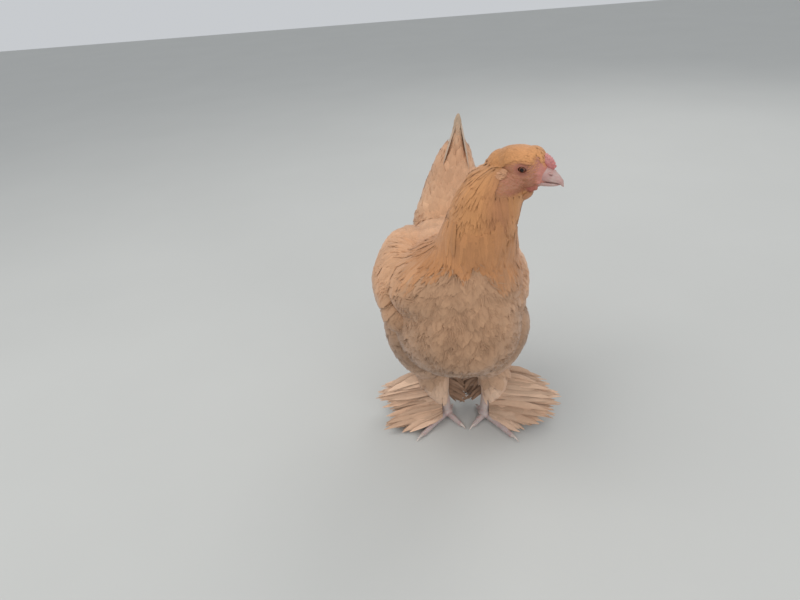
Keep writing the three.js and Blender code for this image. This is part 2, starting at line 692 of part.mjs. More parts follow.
const combHalf = COMB_RIDGE.half;
const ridge = ellipsoid(new Vector3(COMB_RIDGE.x, 0, COMB_RIDGE.z), combHalf, 8, 6);
const bulbs = COMB_ROWS.flatMap(({ out, bulbs: count, radius, rise }) => {
  return Array.from({ length: count }, (_, i) => {
    const share = lerp(-0.78, 0.78, i / (count - 1));
    const height = COMB_RIDGE.z + rise * combHalf.z * Math.sqrt(1 - share ** 2);
    const bulb = new Vector3(COMB_RIDGE.x + share * combHalf.x, out, height);
    return ellipsoid(bulb, new Vector3(radius, radius, radius), 6, 4);
  });
});
headFrame.add(piece("comb", clearOf(fuse([ridge, ...bulbs]), [skull, upperBill]), "comb"));
const pitted = intoSkull.reduce((left, pit) => left.subtract(solid(pit)), fuse([skull, ...onSkull]));
headFrame.add(piece("head", clearOf(pitted, eyeForms), "face"));

// Neck with its hackle, draped over the torso and the wings
const neckRowAt = rowFinder(NECK_ROWS);
const neckCoreSurface = (down, degrees) => {
  const angle = degToRad(degrees);
  const top = lerp(HACKLE_TOP_Z.nape, HACKLE_TOP_Z.throat, (1 + Math.cos(angle)) / 2);
  const z = lerp(top, round(degrees, CAPE_BORDER_Z), down);
  const [, x, y, w, d] = neckRowAt(z);
  return uprightPoint([z, x, y, w - NECK_COAT, d - NECK_COAT], angle);
};
const hackleSurface = (down, degrees) => {
  const point = neckCoreSurface(down, degrees);
  [torsoShare, wingShares.right, wingShares.left].forEach((share) => movedOut(point, share, CAPE_OVER));
  return point;
};
const NECK_SIDES = 16;
const NECK_RINGS = 7;
const neckCoreRings = Array.from({ length: NECK_RINGS }, (_, i) => {
  const down = lerp(0, NECK_CORE_END, i / (NECK_RINGS - 1));
  return Array.from({ length: NECK_SIDES }, (__, j) => neckCoreSurface(down, (360 * j) / NECK_SIDES));
});
const neckTopRings = easeRows(NECK_ROWS.slice(-4), 5)
  .filter(([z]) => z > HACKLE_TOP_Z.nape)
  .map(([z, x, y, w, d]) => uprightRing([z, x, y, w - NECK_COAT, d - NECK_COAT], NECK_SIDES));
const neckCore = skin([...neckTopRings.reverse(), ...neckCoreRings]);
const hackle = tract(hackleSurface, HACKLE_RINGS, {});
const headFormsInBird = besideNeck.map((form) => form.clone().applyMatrix4(headFrame.matrixWorld));
const neckNeighbours = [torsoForm, ...Object.values(wingCores), ...headFormsInBird];
bird.add(piece("neck", clearOf(fuse([neckCore, ...hackle]), neckNeighbours), "hackle"));

// Legs and feet
const below = solid(new THREE.BoxGeometry(600, 600, 60).translate(0, 0, -30));
const nearFloor = solid(new THREE.BoxGeometry(600, 600, 60).translate(0, 0, FLOOR_CLEARANCE - 30));

// Feathers of a fan beside a foot. They follow one arch.
const FULL_REACH = 100;
function fanFeathers(fan, side) {
  return Array.from({ length: fan.count }, (_, i) => {
    const t = i / (fan.count - 1);
    const surface = (degrees, distance) => {
      const angle = degToRad(degrees);
      const share = distance / FULL_REACH;
      const z = lerp(fan.root, fan.end, share) + fan.arch * Math.sin(Math.PI * share) - FAN_BELOW * i;
      const out = fan.out + distance * Math.cos(angle);
      return new Vector3(side * out, fan.y - distance * Math.sin(angle), z);
    };
    const bearing = lerp(...fan.bearings, t);
    const reach = varied(lerp(...fan.reach, t), 0.04);
    const shape = { halfWidthAt: () => FAN_HALF_WIDTH, outline: FAN_OUTLINE };
    return feather(surface, [bearing, 3], [bearing, reach], shape);
  });
}

for (const [name, { y, reach }] of Object.entries(FEET)) {
  const side = SIDES[name];
  const onSide = (rows, middleX) => rows.map(([z, out, ...rest]) => [z, middleX + side * out, ...rest]);
  const thighForm = uprightForm(onSide(THIGH_ROWS, THIGH_MIDDLE_X), 9, 12);
  bird.add(piece(`thigh_${name}`, clearOf(solid(thighForm), [torsoForm, wingCores[name]]), "plumage"));

  const ankle = new Vector3(side * ANKLE.out, y, ANKLE.z);
  const pad = ellipsoid(new Vector3(ankle.x, ankle.y, PAD_Z), PAD_HALF, 9, 6);
  const toes = TOES.map((toe) => {
    const turn = degToRad(toe.turn);
    const heading = new Vector3(side * Math.sin(turn), -Math.cos(turn), 0);
    const start = new Vector3(ankle.x, ankle.y, TOE_BASE_RADIUS);
    const end = start.clone().addScaledVector(heading, reach[toe.name]).setZ(TOE_END_Z);
    const form = taper(start, end, TOE_BASE_RADIUS, TOE_END_RADIUS, 8, 1);
    const scutes = Array.from({ length: toe.scutes }, (_, i) => {
      const t = lerp(0.24, 0.95, (i + 0.5) / toe.scutes);
      const radius = lerp(TOE_BASE_RADIUS, TOE_END_RADIUS, t);
      const at = new Vector3().lerpVectors(start, end, t);
      const size = radius / TOE_BASE_RADIUS;
      const plate = scutePlate(TOE_SCUTE_HALF.x, TOE_SCUTE_HALF.y * size, TOE_SCUTE_HALF.z);
      return plate.rotateZ(Math.atan2(heading.y, heading.x)).translate(at.x, at.y, at.z + radius * 0.86);
    });
    return { toe, heading, end, form, scutes };
  });
  const toeForms = [pad, ...toes.map(({ form }) => form)];
  const plates = toes.flatMap(({ scutes }) => scutes);
  const footFan = FOOT_FANS.flatMap((fan) => fanFeathers(fan, side));

  const claws = toes.map(({ toe, heading, end }) => {
    const root = end.clone().addScaledVector(heading, CLAW.overlap);
    const tip = end.clone().addScaledVector(heading, toe.claw).setZ(CLAW.tipZ);
    return { name: toe.name, form: taper(root, tip, CLAW.rootRadius, CLAW.tipRadius, 6, 1) };
  });
  const clawForms = claws.map(({ form }) => form);
  for (const { name: toeName, form } of claws) {
    const claw = clearOf(solid(form), [...toeForms, ...plates]).subtract(below);
    bird.add(piece(`claw_${toeName}_${name}`, claw, "claw"));
  }
  const fanSolid = clearOf(fuse(footFan), clawForms).subtract(nearFloor);
  bird.add(piece(`foot_${name}`, fuse([...toeForms, ...plates]).subtract(below).add(fanSolid), "scale"));

  const hock = new Vector3(side * HOCK.out, HOCK.y, HOCK.z);
  const shank = taper(hock, ankle, SHANK_RADIUS, SHANK_RADIUS, 10, 1);
  const plumeRows = onSide(PLUME_ROWS, 0);
  const plumeCore = skin(
    easeRows(plumeRows, 7)
      .filter(([z]) => z > PLUME_CORE_END_Z)
      .map(([z, x, rowY, w, d]) => uprightRing([z, x, rowY, w - PLUME_COAT, d - PLUME_COAT], 10)),
  );
  const plumeRowAt = rowFinder(plumeRows);
  const plumeSurface = (z, degrees) => {
    const [, x, rowY, w, d] = plumeRowAt(z);
    const angle = degToRad(side > 0 ? degrees : 180 - degrees);
    return uprightPoint([z, x, rowY, w - PLUME_COAT, d - PLUME_COAT], angle);
  };
  const plume = tract(plumeSurface, PLUME_RINGS, { span: PLUME_SPAN, handed: -side });
  const shankScutes = Array.from({ length: SHANK_SCUTES.count }, (_, i) => {
    const z = SHANK_SCUTES.low + SHANK_SCUTES.step * i;
    const t = (z - ankle.z) / (hock.z - ankle.z);
    const at = new Vector3().lerpVectors(ankle, hock, t);
    const plate = scutePlate(SHANK_SCUTES.half.x, SHANK_SCUTES.half.z, SHANK_SCUTES.half.y);
    return plate.rotateX(Math.PI / 2).translate(at.x, at.y - SHANK_RADIUS, z);
  });
  const shankFan = SHANK_FANS.flatMap((fan) => fanFeathers(fan, side));
  const shankForms = [shank, plumeCore, ...plume, ...shankScutes, ...shankFan];
  const shankNeighbours = [torsoForm, thighForm, ...toeForms, ...footFan];
  bird.add(piece(`shank_${name}`, clearOf(fuse(shankForms), shankNeighbours), "scale"));
}

// The model stands with the middle of its outline over the origin.
bird.updateMatrixWorld(true);
const middle = new THREE.Box3().setFromObject(bird).getCenter(new Vector3());
bird.position.set(-middle.x, -middle.y, 0);
const placedBird = new THREE.Group();
placedBird.add(bird);

export default placedBird;
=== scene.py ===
"""A life-size still model of a buff brahma pullet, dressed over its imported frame.

The bird is worked out in millimetres on its own axes: it faces -Y, its left side is +X, and the origin
lies on the floor midway between its feet. Each finished piece is then moved to the frame, in metres.
"""

from __future__ import annotations

import logging
import math
from collections.abc import Callable, Iterable, Sequence
from dataclasses import dataclass, field
from enum import Enum

import bmesh
import bpy
import numpy as np
from mathutils import Matrix, Vector
from mathutils.bvhtree import BVHTree
from mathutils.kdtree import KDTree


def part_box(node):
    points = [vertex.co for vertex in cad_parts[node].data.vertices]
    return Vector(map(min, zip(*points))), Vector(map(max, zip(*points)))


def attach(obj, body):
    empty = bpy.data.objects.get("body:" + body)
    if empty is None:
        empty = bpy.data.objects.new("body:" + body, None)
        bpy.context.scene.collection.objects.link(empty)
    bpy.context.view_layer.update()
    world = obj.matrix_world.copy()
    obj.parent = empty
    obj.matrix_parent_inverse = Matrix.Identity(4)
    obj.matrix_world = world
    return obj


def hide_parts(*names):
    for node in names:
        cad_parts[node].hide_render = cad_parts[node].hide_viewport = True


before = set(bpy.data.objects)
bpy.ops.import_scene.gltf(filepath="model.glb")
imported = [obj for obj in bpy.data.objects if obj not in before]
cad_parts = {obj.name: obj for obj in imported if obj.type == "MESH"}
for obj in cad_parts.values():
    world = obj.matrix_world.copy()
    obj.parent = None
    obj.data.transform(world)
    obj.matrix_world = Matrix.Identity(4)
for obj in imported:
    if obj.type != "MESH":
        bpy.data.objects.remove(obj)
log = logging.getLogger("brahma")

Array = np.ndarray
Table = Sequence[Sequence[float]]
Place = Callable[[Array, Array], Array]
Tone = tuple[int, int, int]  # red, green and blue of 0 to 255

METRES = 0.001  # in a millimetre
SIDES = {"right": -1, "left": 1}  # the bird's right is towards -X
EYE_MIDDLE = Vector((63.0, -85.93, 400.9))  # the right eye on the bird's own axes
SPECKS = (-70, -36, 276)  # middle of the few dark specks on the right shoulder
BAKE_PATCH = 0.003  # width of one feather on the OFBake map
WELD = 1e-4  # millimetres within which two points are one

# Torso: [y, middle x, half width, height of the widest line, top, underside] at the tips of its coat
TORSO_ROWS = (
    (-124, 0, 0.4, 203, 203.4, 202.6),
    (-119, -1, 27, 202, 240, 172),
    (-107, -2, 48, 200, 268, 147),
    (-86, -4, 66, 200, 287, 120),
    (-57, -7, 77, 200, 295, 101),
    (-24, -9, 82, 200, 296, 92),
    (12, -10, 84, 200, 294, 90),
    (48, -9, 81, 202, 290, 97),
    (80, -6, 74, 206, 290, 113),
    (106, -2, 61, 214, 290, 138),
    (126, 1, 41, 228, 282, 170),
    (138, 3, 20, 236, 264, 204),
    (142, 3, 0.4, 240, 240.4, 239.6),
)
# Neck: [z, middle x, middle y, half width, half depth]
NECK_ROWS = (
    (206, -11, -40, 54, 50),
    (234, -12, -43, 74, 66),
    (256, -11, -43, 80, 71),
    (272, -6, -42, 74, 66),
    (288, 3, -46, 60, 54),
    (306, 14, -60, 47, 42),
    (328, 18, -71, 41, 37),
    (350, 24, -73, 39, 34),
    (366, 31, -72, 38, 32),
    (380, 37, -71, 33, 29),
    (393, 41, -70, 26, 23),
    (402, 44, -69, 12, 12),
)
# Head, on its own axes: [x, half width, height of the widest line, top, underside], nape first
HEAD_ROWS = (
    (-32, 0.3, 1, 1.3, 0.7),
    (-30, 7, 1, 8, -7),
    (-24, 13, 0, 14.5, -15),
    (-14, 16.8, -1, 18.5, -22),
    (-3, 17.2, -2, 20, -25),
    (7, 15.6, -2, 18.5, -24),
    (15, 12.4, -4, 14, -20.5),
    (21, 9, -6, 7.5, -17),
    (25, 5, -8, 1, -13.5),
    (27, 0.3, -8, -7.7, -8.3),
)
HEAD_MIDDLE = Vector((67, -75, 401))
HEAD_TURN = -25  # degrees about Z from +X
HEAD_DIP = 6  # degrees down
# Bill, on the head's axes: the same kind of row
UPPER_BILL_ROWS = (
    (12, 8.5, -6, 4, -12),
    (20, 8.2, -6, 4, -12),
    (27, 6.8, -7, 2.2, -12),
    (33, 5, -8, -1.6, -12.2),
    (38, 3.2, -9.5, -6, -13),
    (41, 1.5, -12, -10.5, -15.2),
    (42, 0.3, -15, -14.6, -15.4),
)
LOWER_BILL_ROWS = (
    (12, 7.6, -14, -12.5, -18.5),
    (20, 6.8, -14, -12.5, -18.3),
    (28, 5, -14, -12.5, -17.4),
    (34, 3, -14, -12.8, -16),
    (38, 0.4, -14, -13.4, -14.2),
)
# Folded wings: [y, distance out, half width, height of the widest line, top, underside]
WING_ROWS = (
    (-70, 70, 0.4, 236, 236.4, 235.6),
    (-66, 71, 6, 236, 250, 220),
    (-50, 73, 12, 236, 267, 205),
    (-22, 77, 17, 235, 281, 193),
    (12, 79, 19, 235, 286, 187),
    (46, 77, 17, 237, 282, 192),
    (76, 70, 13, 242, 273, 206),
    (98, 61, 8, 248, 263, 227),
    (108, 56, 4, 250, 256, 242),
    (111, 55, 0.4, 250, 250.4, 249.6),
)
# Saddle cone under the tail: [z, middle x, middle y, half width, half depth]
TAIL_ROWS = (
    (258, -5, 94, 58, 36),
    (280, -5, 102, 55, 38),
    (297, -4, 109, 49, 36),
    (316, -5, 118, 40, 30),
    (336, -5, 129, 30, 26),
    (356, -1, 143, 21, 19),
    (374, 4, 155, 8, 12),
    (386, 5, 160, 3, 5),
)
# Thighs and feathered shanks: [z, distance out, y, half width, half depth]
THIGH_ROWS = (
    (76, 41, 9, 19, 19),
    (88, 41, 8, 25, 26),
    (104, 45, 6, 32, 36),
    (126, 52, 4, 36, 46),
    (152, 58, 2, 38, 50),
    (180, 59, 0, 34, 46),
    (198, 58, 0, 20, 34),
)
PLUME_ROWS = (
    (24, 33, 0, 9, 8),
    (32, 35, 1, 11, 10),
    (46, 40, 3, 17, 15),
    (66, 43, 6, 22, 19),
    (92, 42, 10, 19, 18),
)

# Feet: y of the ankle, reach of each toe, and outer edge of the fan from its top round to the toe
FEET = {
    "right": (
        2.5,
        {"inner": 32, "middle": 56, "outer": 44, "hind": 17},
        ((-108, 6, 48), (-124, 12, 36), (-133, 14, 23), (-105, 0, 12), (-121, -32, 8), (-74, -38, 4)),
    ),
    "left": (
        -2.7,
        {"inner": 27, "middle": 56, "outer": 44, "hind": 20},
        ((98, 4, 60), (114, 0, 52), (130, -4, 40), (136, -8, 26), (114, -24, 10), (72, -42, 4)),
    ),
}


class Part(Enum):
    """A part of the body that one form gives the shape of."""

    TORSO = 0
    NECK = 1
    HEAD = 2
    WING_RIGHT = 3
    WING_LEFT = 4
    TAIL = 5
    THIGH_RIGHT = 6
    THIGH_LEFT = 7
    PLUME_RIGHT = 8
    PLUME_LEFT = 9


def sided(kind: str, name: str) -> Part:
    """The part of a kind on the side of that name."""
    return Part[f"{kind}_{name}".upper()]


def linear(red: float, green: float, blue: float) -> Array:
    """A colour of 0 to 255 as the linear values that a shader takes."""
    shares = np.array((red, green, blue)) / 255
    return np.where(shares <= 0.04045, shares / 12.92, ((shares + 0.055) / 1.055) ** 2.4)


def blended(start: Array, end: Array, share: Array) -> Array:
    """Rows of colour or position between two ends, for one share a row."""
    share = np.clip(np.asarray(share, float), 0, 1)[..., None]
    return np.asarray(start) * (1 - share) + np.asarray(end) * share


def ramped(values: Array, low: float, high: float) -> Array:
    """A smooth share from 0 at low to 1 at high."""
    share = np.clip((values - low) / (high - low), 0, 1)
    return share * share * (3 - 2 * share)


def unit(vectors: Array) -> Array:
    """The same vectors, each of length 1."""
    return vectors / np.maximum(np.linalg.norm(vectors, axis=-1, keepdims=True), 1e-9)


def turned(vectors: Array, axes: Array, angles: Array) -> Array:
    """Vectors turned about unit axes that stand square to them, by angles in radians."""
    angles = angles[..., None]
    return vectors * np.cos(angles) + np.cross(axes, vectors) * np.sin(angles)


def layered(base: Tone, layers: Iterable[tuple[Tone, Array]]) -> Array:
    """A linear colour a point, from a tone and others laid over it by a share at every point."""
    colour = linear(*base)
    for tone, share in layers:
        colour = blended(colour, linear(*tone), share)
    return colour


def arched(root: Array, bend: Array, tip: Array, stations: Sequence[float]) -> Array:
    """Paths from roots to tips, each drawn towards its bend, at some shares of the way."""
    t = np.array(stations)[None, :, None]
    return root[:, None] * (1 - t) ** 2 + bend[:, None] * 2 * t * (1 - t) + tip[:, None] * t**2


def tinted(mesh: bpy.types.Mesh, colours: Array) -> None:
    """Gives a mesh's points the linear colours that the finishes of feathers and skin read."""
    paint = np.ones((len(mesh.vertices), 4))
    paint[:, :3] = colours
    layer = mesh.color_attributes.new("plumage", "FLOAT_COLOR", "POINT")
    layer.data.foreach_set("color", paint.ravel())


def smoothed(mesh: bpy.types.Mesh, degrees: float) -> None:
    """Shades a mesh smooth, but for the edges sharper than an angle."""
    mesh.shade_smooth()
    mesh.set_sharp_from_angle(angle=math.radians(degrees))


@dataclass(frozen=True)
class Drift:
    """A smooth value that wanders over space between about -1 and 1, the same on every run."""

    seed: int
    wavelength: float
    waves: int = 7

    def at(self, points: Array) -> Array:
        """The value at each point."""
        draw = np.random.default_rng(self.seed)
        directions = unit(draw.normal(size=(self.waves, 3)))
        speeds = 2 * math.pi / (self.wavelength * draw.uniform(0.7, 1.5, self.waves))
        starts = draw.uniform(0, 2 * math.pi, self.waves)
        phases = points @ (directions * speeds[:, None]).T + starts
        return np.sin(phases).sum(axis=-1) / math.sqrt(self.waves)


@dataclass(frozen=True)
class Rows:
    """Sizes along a form, eased by a smooth curve from row to row."""

    table: Table

    def ends(self) -> tuple[float, float]:
        """The first and the last station."""
        return self.table[0][0], self.table[-1][0]

    def at(self, stations: Array) -> Array:
        """The sizes at some stations.

        Args:
            stations: places along the form, one a row of the result.

        Returns:
            The columns of the table after its first, one row a station.
        """
        table = np.array(self.table, float)
        keys, values = table[:, 0], table[:, 1:]
        slopes = np.gradient(values, keys, axis=0)
        stations = np.clip(stations, keys[0], keys[-1])
        before = np.clip(np.searchsorted(keys, stations) - 1, 0, len(keys) - 2)
        gap = keys[before + 1] - keys[before]
        t = ((stations - keys[before]) / gap)[:, None]
        gap = gap[:, None]
        start, end = values[before], values[before + 1]
        rise, fall = slopes[before] * gap, slopes[before + 1] * gap
        square, cube = t**2, t**3
        eased = start * (2 * cube - 3 * square + 1) + rise * (cube - 2 * square + t)
        return eased + end * (3 * square - 2 * cube) + fall * (cube - square)


@dataclass(frozen=True)
class Form:
    """A rounded form with rows of sizes along an axis, less a depth of coat all round it."""

    rows: Rows
    inset: float = 0.0
    thinnest: float = 0.3

    def surface(self, around: Array, along: Array) -> Array:
        """Points on the form, for shares of a turn and of its length."""
        low, high = self.rows.ends()
        return self.point(low + (high - low) * along, around * 2 * math.pi)

    def point(self, stations: Array, angles: Array) -> Array:
        """Points at some stations and angles about the middle line."""
        raise NotImplementedError

    def away(self, points: Array) -> Array:
        """About how far each point lies from the form's surface."""
        raise NotImplementedError

    def unwrapped(self, points: Array) -> Array:
        """Each point's share of a turn and of the length, for a map of the form."""
        raise NotImplementedError

    def facing(self, stations: Array, angles: Array) -> Array:
        """The way out of the form.

        Args:
            stations: places along it.
            angles: angles about its middle line, one a station.

        Returns:
            A vector of length 1 for each.
        """
        step = 0.02  # radians, and share of the length
        reach = (self.rows.ends()[1] - self.rows.ends()[0]) * step
        along = self.point(stations + reach, angles) - self.point(stations - reach, angles)
        across = self.point(stations, angles + step) - self.point(stations, angles - step)
        out = unit(np.cross(across, along))
        middle = self.point(stations, angles) + self.point(stations, angles + math.pi)
        side = np.sum((self.point(stations, angles) - middle / 2) * out, axis=-1)
        return out * np.sign(side)[:, None]

    def mesh(self, columns: int, rings: int) -> bmesh.types.BMesh:
        """The form as a closed mesh."""
        return rolled(columns, rings, self.surface)


def bulge(values: Array, fullness: Array | float) -> Array:
    """A point's share of a superellipse's half axis."""
    return np.sign(values) * np.abs(values) ** (2 / np.asarray(fullness))


@dataclass(frozen=True)
class LyingForm(Form):
    """A form along Y, fuller above or below its widest line. Its upper part may lean sideways."""

    above: float = 2.0
    below: float = 2.0
    lean: float = 0.0

    def point(self, stations: Array, angles: Array) -> Array:
        """Points at some stations and angles about the middle line."""
        low, high = self.rows.ends()
        middle, half, widest, top, under = self.rows.at(stations).T
        upper = np.sin(angles) > 0
        power = np.where(upper, self.above, self.below)
        rise = np.where(upper, top - widest, widest - under) - self.inset
        x = middle + np.maximum(half - self.inset, self.thinnest) * bulge(np.cos(angles), power)
        lift = np.maximum(rise, self.thinnest) * bulge(np.sin(angles), power)
        shorter = 1 - 2 * self.inset / (high - low)
        y = (low + high) / 2 + (stations - (low + high) / 2) * shorter
        return np.stack((x - self.lean * np.maximum(lift, 0), y, widest + lift), axis=-1)

    def away(self, points: Array) -> Array:
        """About how far each point lies from the form's surface."""
        x, y, z = points.T
        low, high = self.rows.ends()
        middle, half, widest, top, under = self.rows.at(y).T
        x = x + self.lean * np.maximum(z - widest, 0)
        rise = np.where(z > widest, top - widest, widest - under) - self.inset
        half, rise = np.maximum(half - self.inset, 1), np.maximum(rise, 1)
        power = np.where(z > widest, self.above, self.below)
        share = (np.abs((x - middle) / half) ** power + np.abs((z - widest) / rise) ** power) ** (1 / power)
        beyond = np.maximum(low - y, 0) + np.maximum(y - high, 0)
        return np.abs(share - 1) * (half + rise) / 2 + 3 * beyond

    def unwrapped(self, points: Array) -> Array:
        """Each point's share of a turn and of the length."""
        low, high = self.rows.ends()
        middle, _, widest, _, _ = self.rows.at(points[:, 1]).T
        turn = np.arctan2(points[:, 2] - widest, points[:, 0] - middle) / (2 * math.pi) + 0.5
        return np.stack((turn, (points[:, 1] - low) / (high - low)), axis=-1)


@dataclass(frozen=True)
class UprightForm(Form):
    """A form along Z with an oval section."""

    def point(self, stations: Array, angles: Array) -> Array:
        """Points at some stations and angles about the middle line."""
        x, y, half, depth = self.rows.at(stations).T
        half = np.maximum(half - self.inset, self.thinnest)
        depth = np.maximum(depth - self.inset, self.thinnest)
        return np.stack((x + half * np.cos(angles), y + depth * np.sin(angles), stations), axis=-1)

    def away(self, points: Array) -> Array:
        """About how far each point lies from the form's surface."""
        low, high = self.rows.ends()
        x, y, half, depth = self.rows.at(points[:, 2]).T
        half, depth = np.maximum(half - self.inset, 1), np.maximum(depth - self.inset, 1)
        share = np.hypot((points[:, 0] - x) / half, (points[:, 1] - y) / depth)
        beyond = np.maximum(low - points[:, 2], 0) + np.maximum(points[:, 2] - high, 0)
        return np.abs(share - 1) * (half + depth) / 2 + 3 * beyond

    def unwrapped(self, points: Array) -> Array:
        """Each point's share of a turn and of the length."""
        low, high = self.rows.ends()
        x, y, _, _ = self.rows.at(points[:, 2]).T
        turn = np.arctan2(points[:, 1] - y, points[:, 0] - x) / (2 * math.pi) + 0.5
        return np.stack((turn, (points[:, 2] - low) / (high - low)), axis=-1)


@dataclass(frozen=True)
class HeadForm(Form):
    """A form along the head's own X, the same on both sides."""

    above: float = 2.2
    below: float = 2.2

    def lying(self) -> LyingForm:
        """The same sizes as a form along Y."""
        table = tuple((row[0], 0, *row[1:]) for row in self.rows.table)
        return LyingForm(Rows(table), self.inset, self.thinnest, self.above, self.below)

    def point(self, stations: Array, angles: Array) -> Array:
        """Points on the head's own axes at some stations and angles."""
        return self.lying().point(stations, angles)[:, [1, 0, 2]]

    def away(self, points: Array) -> Array:
        """About how far each point of the bird lies from the form's surface."""
        return self.lying().away(on_head(points)[:, [1, 0, 2]])

    def unwrapped(self, points: Array) -> Array:
        """Each point's share of a turn and of the length."""
        return self.lying().unwrapped(on_head(points)[:, [1, 0, 2]])


def head_axes() -> Matrix:
    """The place and turn of the head's own axes."""
    turn = Matrix.Rotation(math.radians(HEAD_TURN), 4, "Z") @ Matrix.Rotation(math.radians(HEAD_DIP), 4, "Y")
    return Matrix.Translation(HEAD_MIDDLE) @ turn


def on_head(points: Array) -> Array:
    """Points of the bird on the head's own axes."""
    turn = np.array(head_axes().to_3x3())
    return (points - np.array(HEAD_MIDDLE)) @ turn


def on_side(rows: Table, side: int, middle: float = 0) -> Rows:
    """Rows whose second column is a distance out, put on one side of the bird."""
    return Rows(tuple((row[0], middle + side * row[1], *row[2:]) for row in rows))


def rolled(columns: int, rings: int, place: Place) -> bmesh.types.BMesh:
    """A closed mesh rolled from a grid.

    Args:
        columns: faces around it.
        rings: faces along it.
        place: points for shares of a turn and of the length.

    Returns:
        The mesh, welded at its seam, with both ends filled.
    """
    bm = bmesh.new()
    bmesh.ops.create_grid(bm, x_segments=columns, y_segments=rings, size=1.0)
    around, along = (np.array([vert.co[:2] for vert in bm.verts]).T + 1) / 2
    for vert, spot in zip(bm.verts, place(around, along)):
        vert.co = spot
    bmesh.ops.remove_doubles(bm, verts=bm.verts, dist=WELD)
    bmesh.ops.holes_fill(bm, edges=bm.edges, sides=0)
    bmesh.ops.recalc_face_normals(bm, faces=bm.faces)
    return bm


def ellipsoid(middle: Iterable[float], half: Iterable[float], segments: int = 24) -> bmesh.types.BMesh:
    """A closed ball about a middle, of three half sizes."""
    bm = bmesh.new()
    bmesh.ops.create_uvsphere(bm, u_segments=segments, v_segments=segments // 2, radius=1)
    bmesh.ops.scale(bm, vec=Vector(half), verts=bm.verts)
    bmesh.ops.translate(bm, vec=Vector(middle), verts=bm.verts)
    return bm


def gathered(shapes: Iterable[bmesh.types.BMesh], axes: Matrix | None = None) -> bpy.types.Mesh:
    """Several shapes in one mesh.

    Args:
        shapes: the shapes. They are used up.
        axes: the axes that they are moved to, if others than their own.

    Returns:
        The mesh.
    """
    whole = bmesh.new()
    for shape in shapes:
        mesh = bpy.data.meshes.new("shape")
        shape.to_mesh(mesh)
        shape.free()
        whole.from_mesh(mesh)
        bpy.data.meshes.remove(mesh)
    if axes is not None:
        bmesh.ops.transform(whole, matrix=axes, verts=whole.verts)
    mesh = bpy.data.meshes.new("gathered")
    whole.to_mesh(mesh)
    whole.free()
    return mesh


def worked(mesh: bpy.types.Mesh, *steps: tuple[str, dict]) -> bpy.types.Mesh:
    """A mesh after some modifiers.

    Args:
        mesh: what they work on. It is used up.
        steps: each modifier's kind and settings. A mesh given as its object is used up too.

    Returns:
        The worked mesh.
    """
    scene = bpy.context.scene
    bench = bpy.data.objects.new("bench", mesh)
    scene.collection.objects.link(bench)
    spent = [bench]
    for kind, settings in steps:
        modifier = bench.modifiers.new(kind, kind)
        for name, value in settings.items():
            if isinstance(value, bpy.types.Mesh):
                value = bpy.data.objects.new("tool", value)
                scene.collection.objects.link(value)
                spent.append(value)
            setattr(modifier, name, value)
    graph = bpy.context.evaluated_depsgraph_get()
    result = bpy.data.meshes.new_from_object(bench.evaluated_get(graph))
    for used in spent:
        data = used.data
        bpy.data.objects.remove(used)
        bpy.data.meshes.remove(data)
    return result


def melted(mesh: bpy.types.Mesh, voxel: float, rounds: int) -> bpy.types.Mesh:
    """Shapes that overlap, melted into one skin and smoothed."""
    return worked(
        mesh,
        ("REMESH", {"mode": "VOXEL", "voxel_size": voxel}),
        ("SMOOTH", {"factor": 0.5, "iterations": rounds}),
    )


def joined(mesh: bpy.types.Mesh, other: bpy.types.Mesh, how: str) -> bpy.types.Mesh:
    """One closed mesh united with another or cut by it."""
    return worked(mesh, ("BOOLEAN", {"operation": how, "solver": "MANIFOLD", "object": other}))


def corners_of(mesh: bpy.types.Mesh) -> Array:
    """A mesh's points as rows."""
    points = np.empty(len(mesh.vertices) * 3)
    mesh.vertices.foreach_get("co", points)
    return points.reshape(-1, 3)


class Socket:
    """A shader socket in an expression. Operators on it add Math nodes."""

    def __init__(self, net: Net, socket: bpy.types.NodeSocket) -> None:
        """Keeps the socket and the net that it belongs to."""
        self.net = net
        self.socket = socket

    def __add__(self, other: Socket | float) -> Socket:
        """The sum."""
        return self.net.maths("ADD", self, other)

    __radd__ = __add__

    def __sub__(self, other: Socket | float) -> Socket:
        """The difference."""
        return self.net.maths("SUBTRACT", self, other)

    def __rsub__(self, other: float) -> Socket:
        """The difference from a number."""
        return self.net.maths("SUBTRACT", other, self)

    def __mul__(self, other: Socket | float) -> Socket:
        """The product."""
        return self.net.maths("MULTIPLY", self, other)

    __rmul__ = __mul__


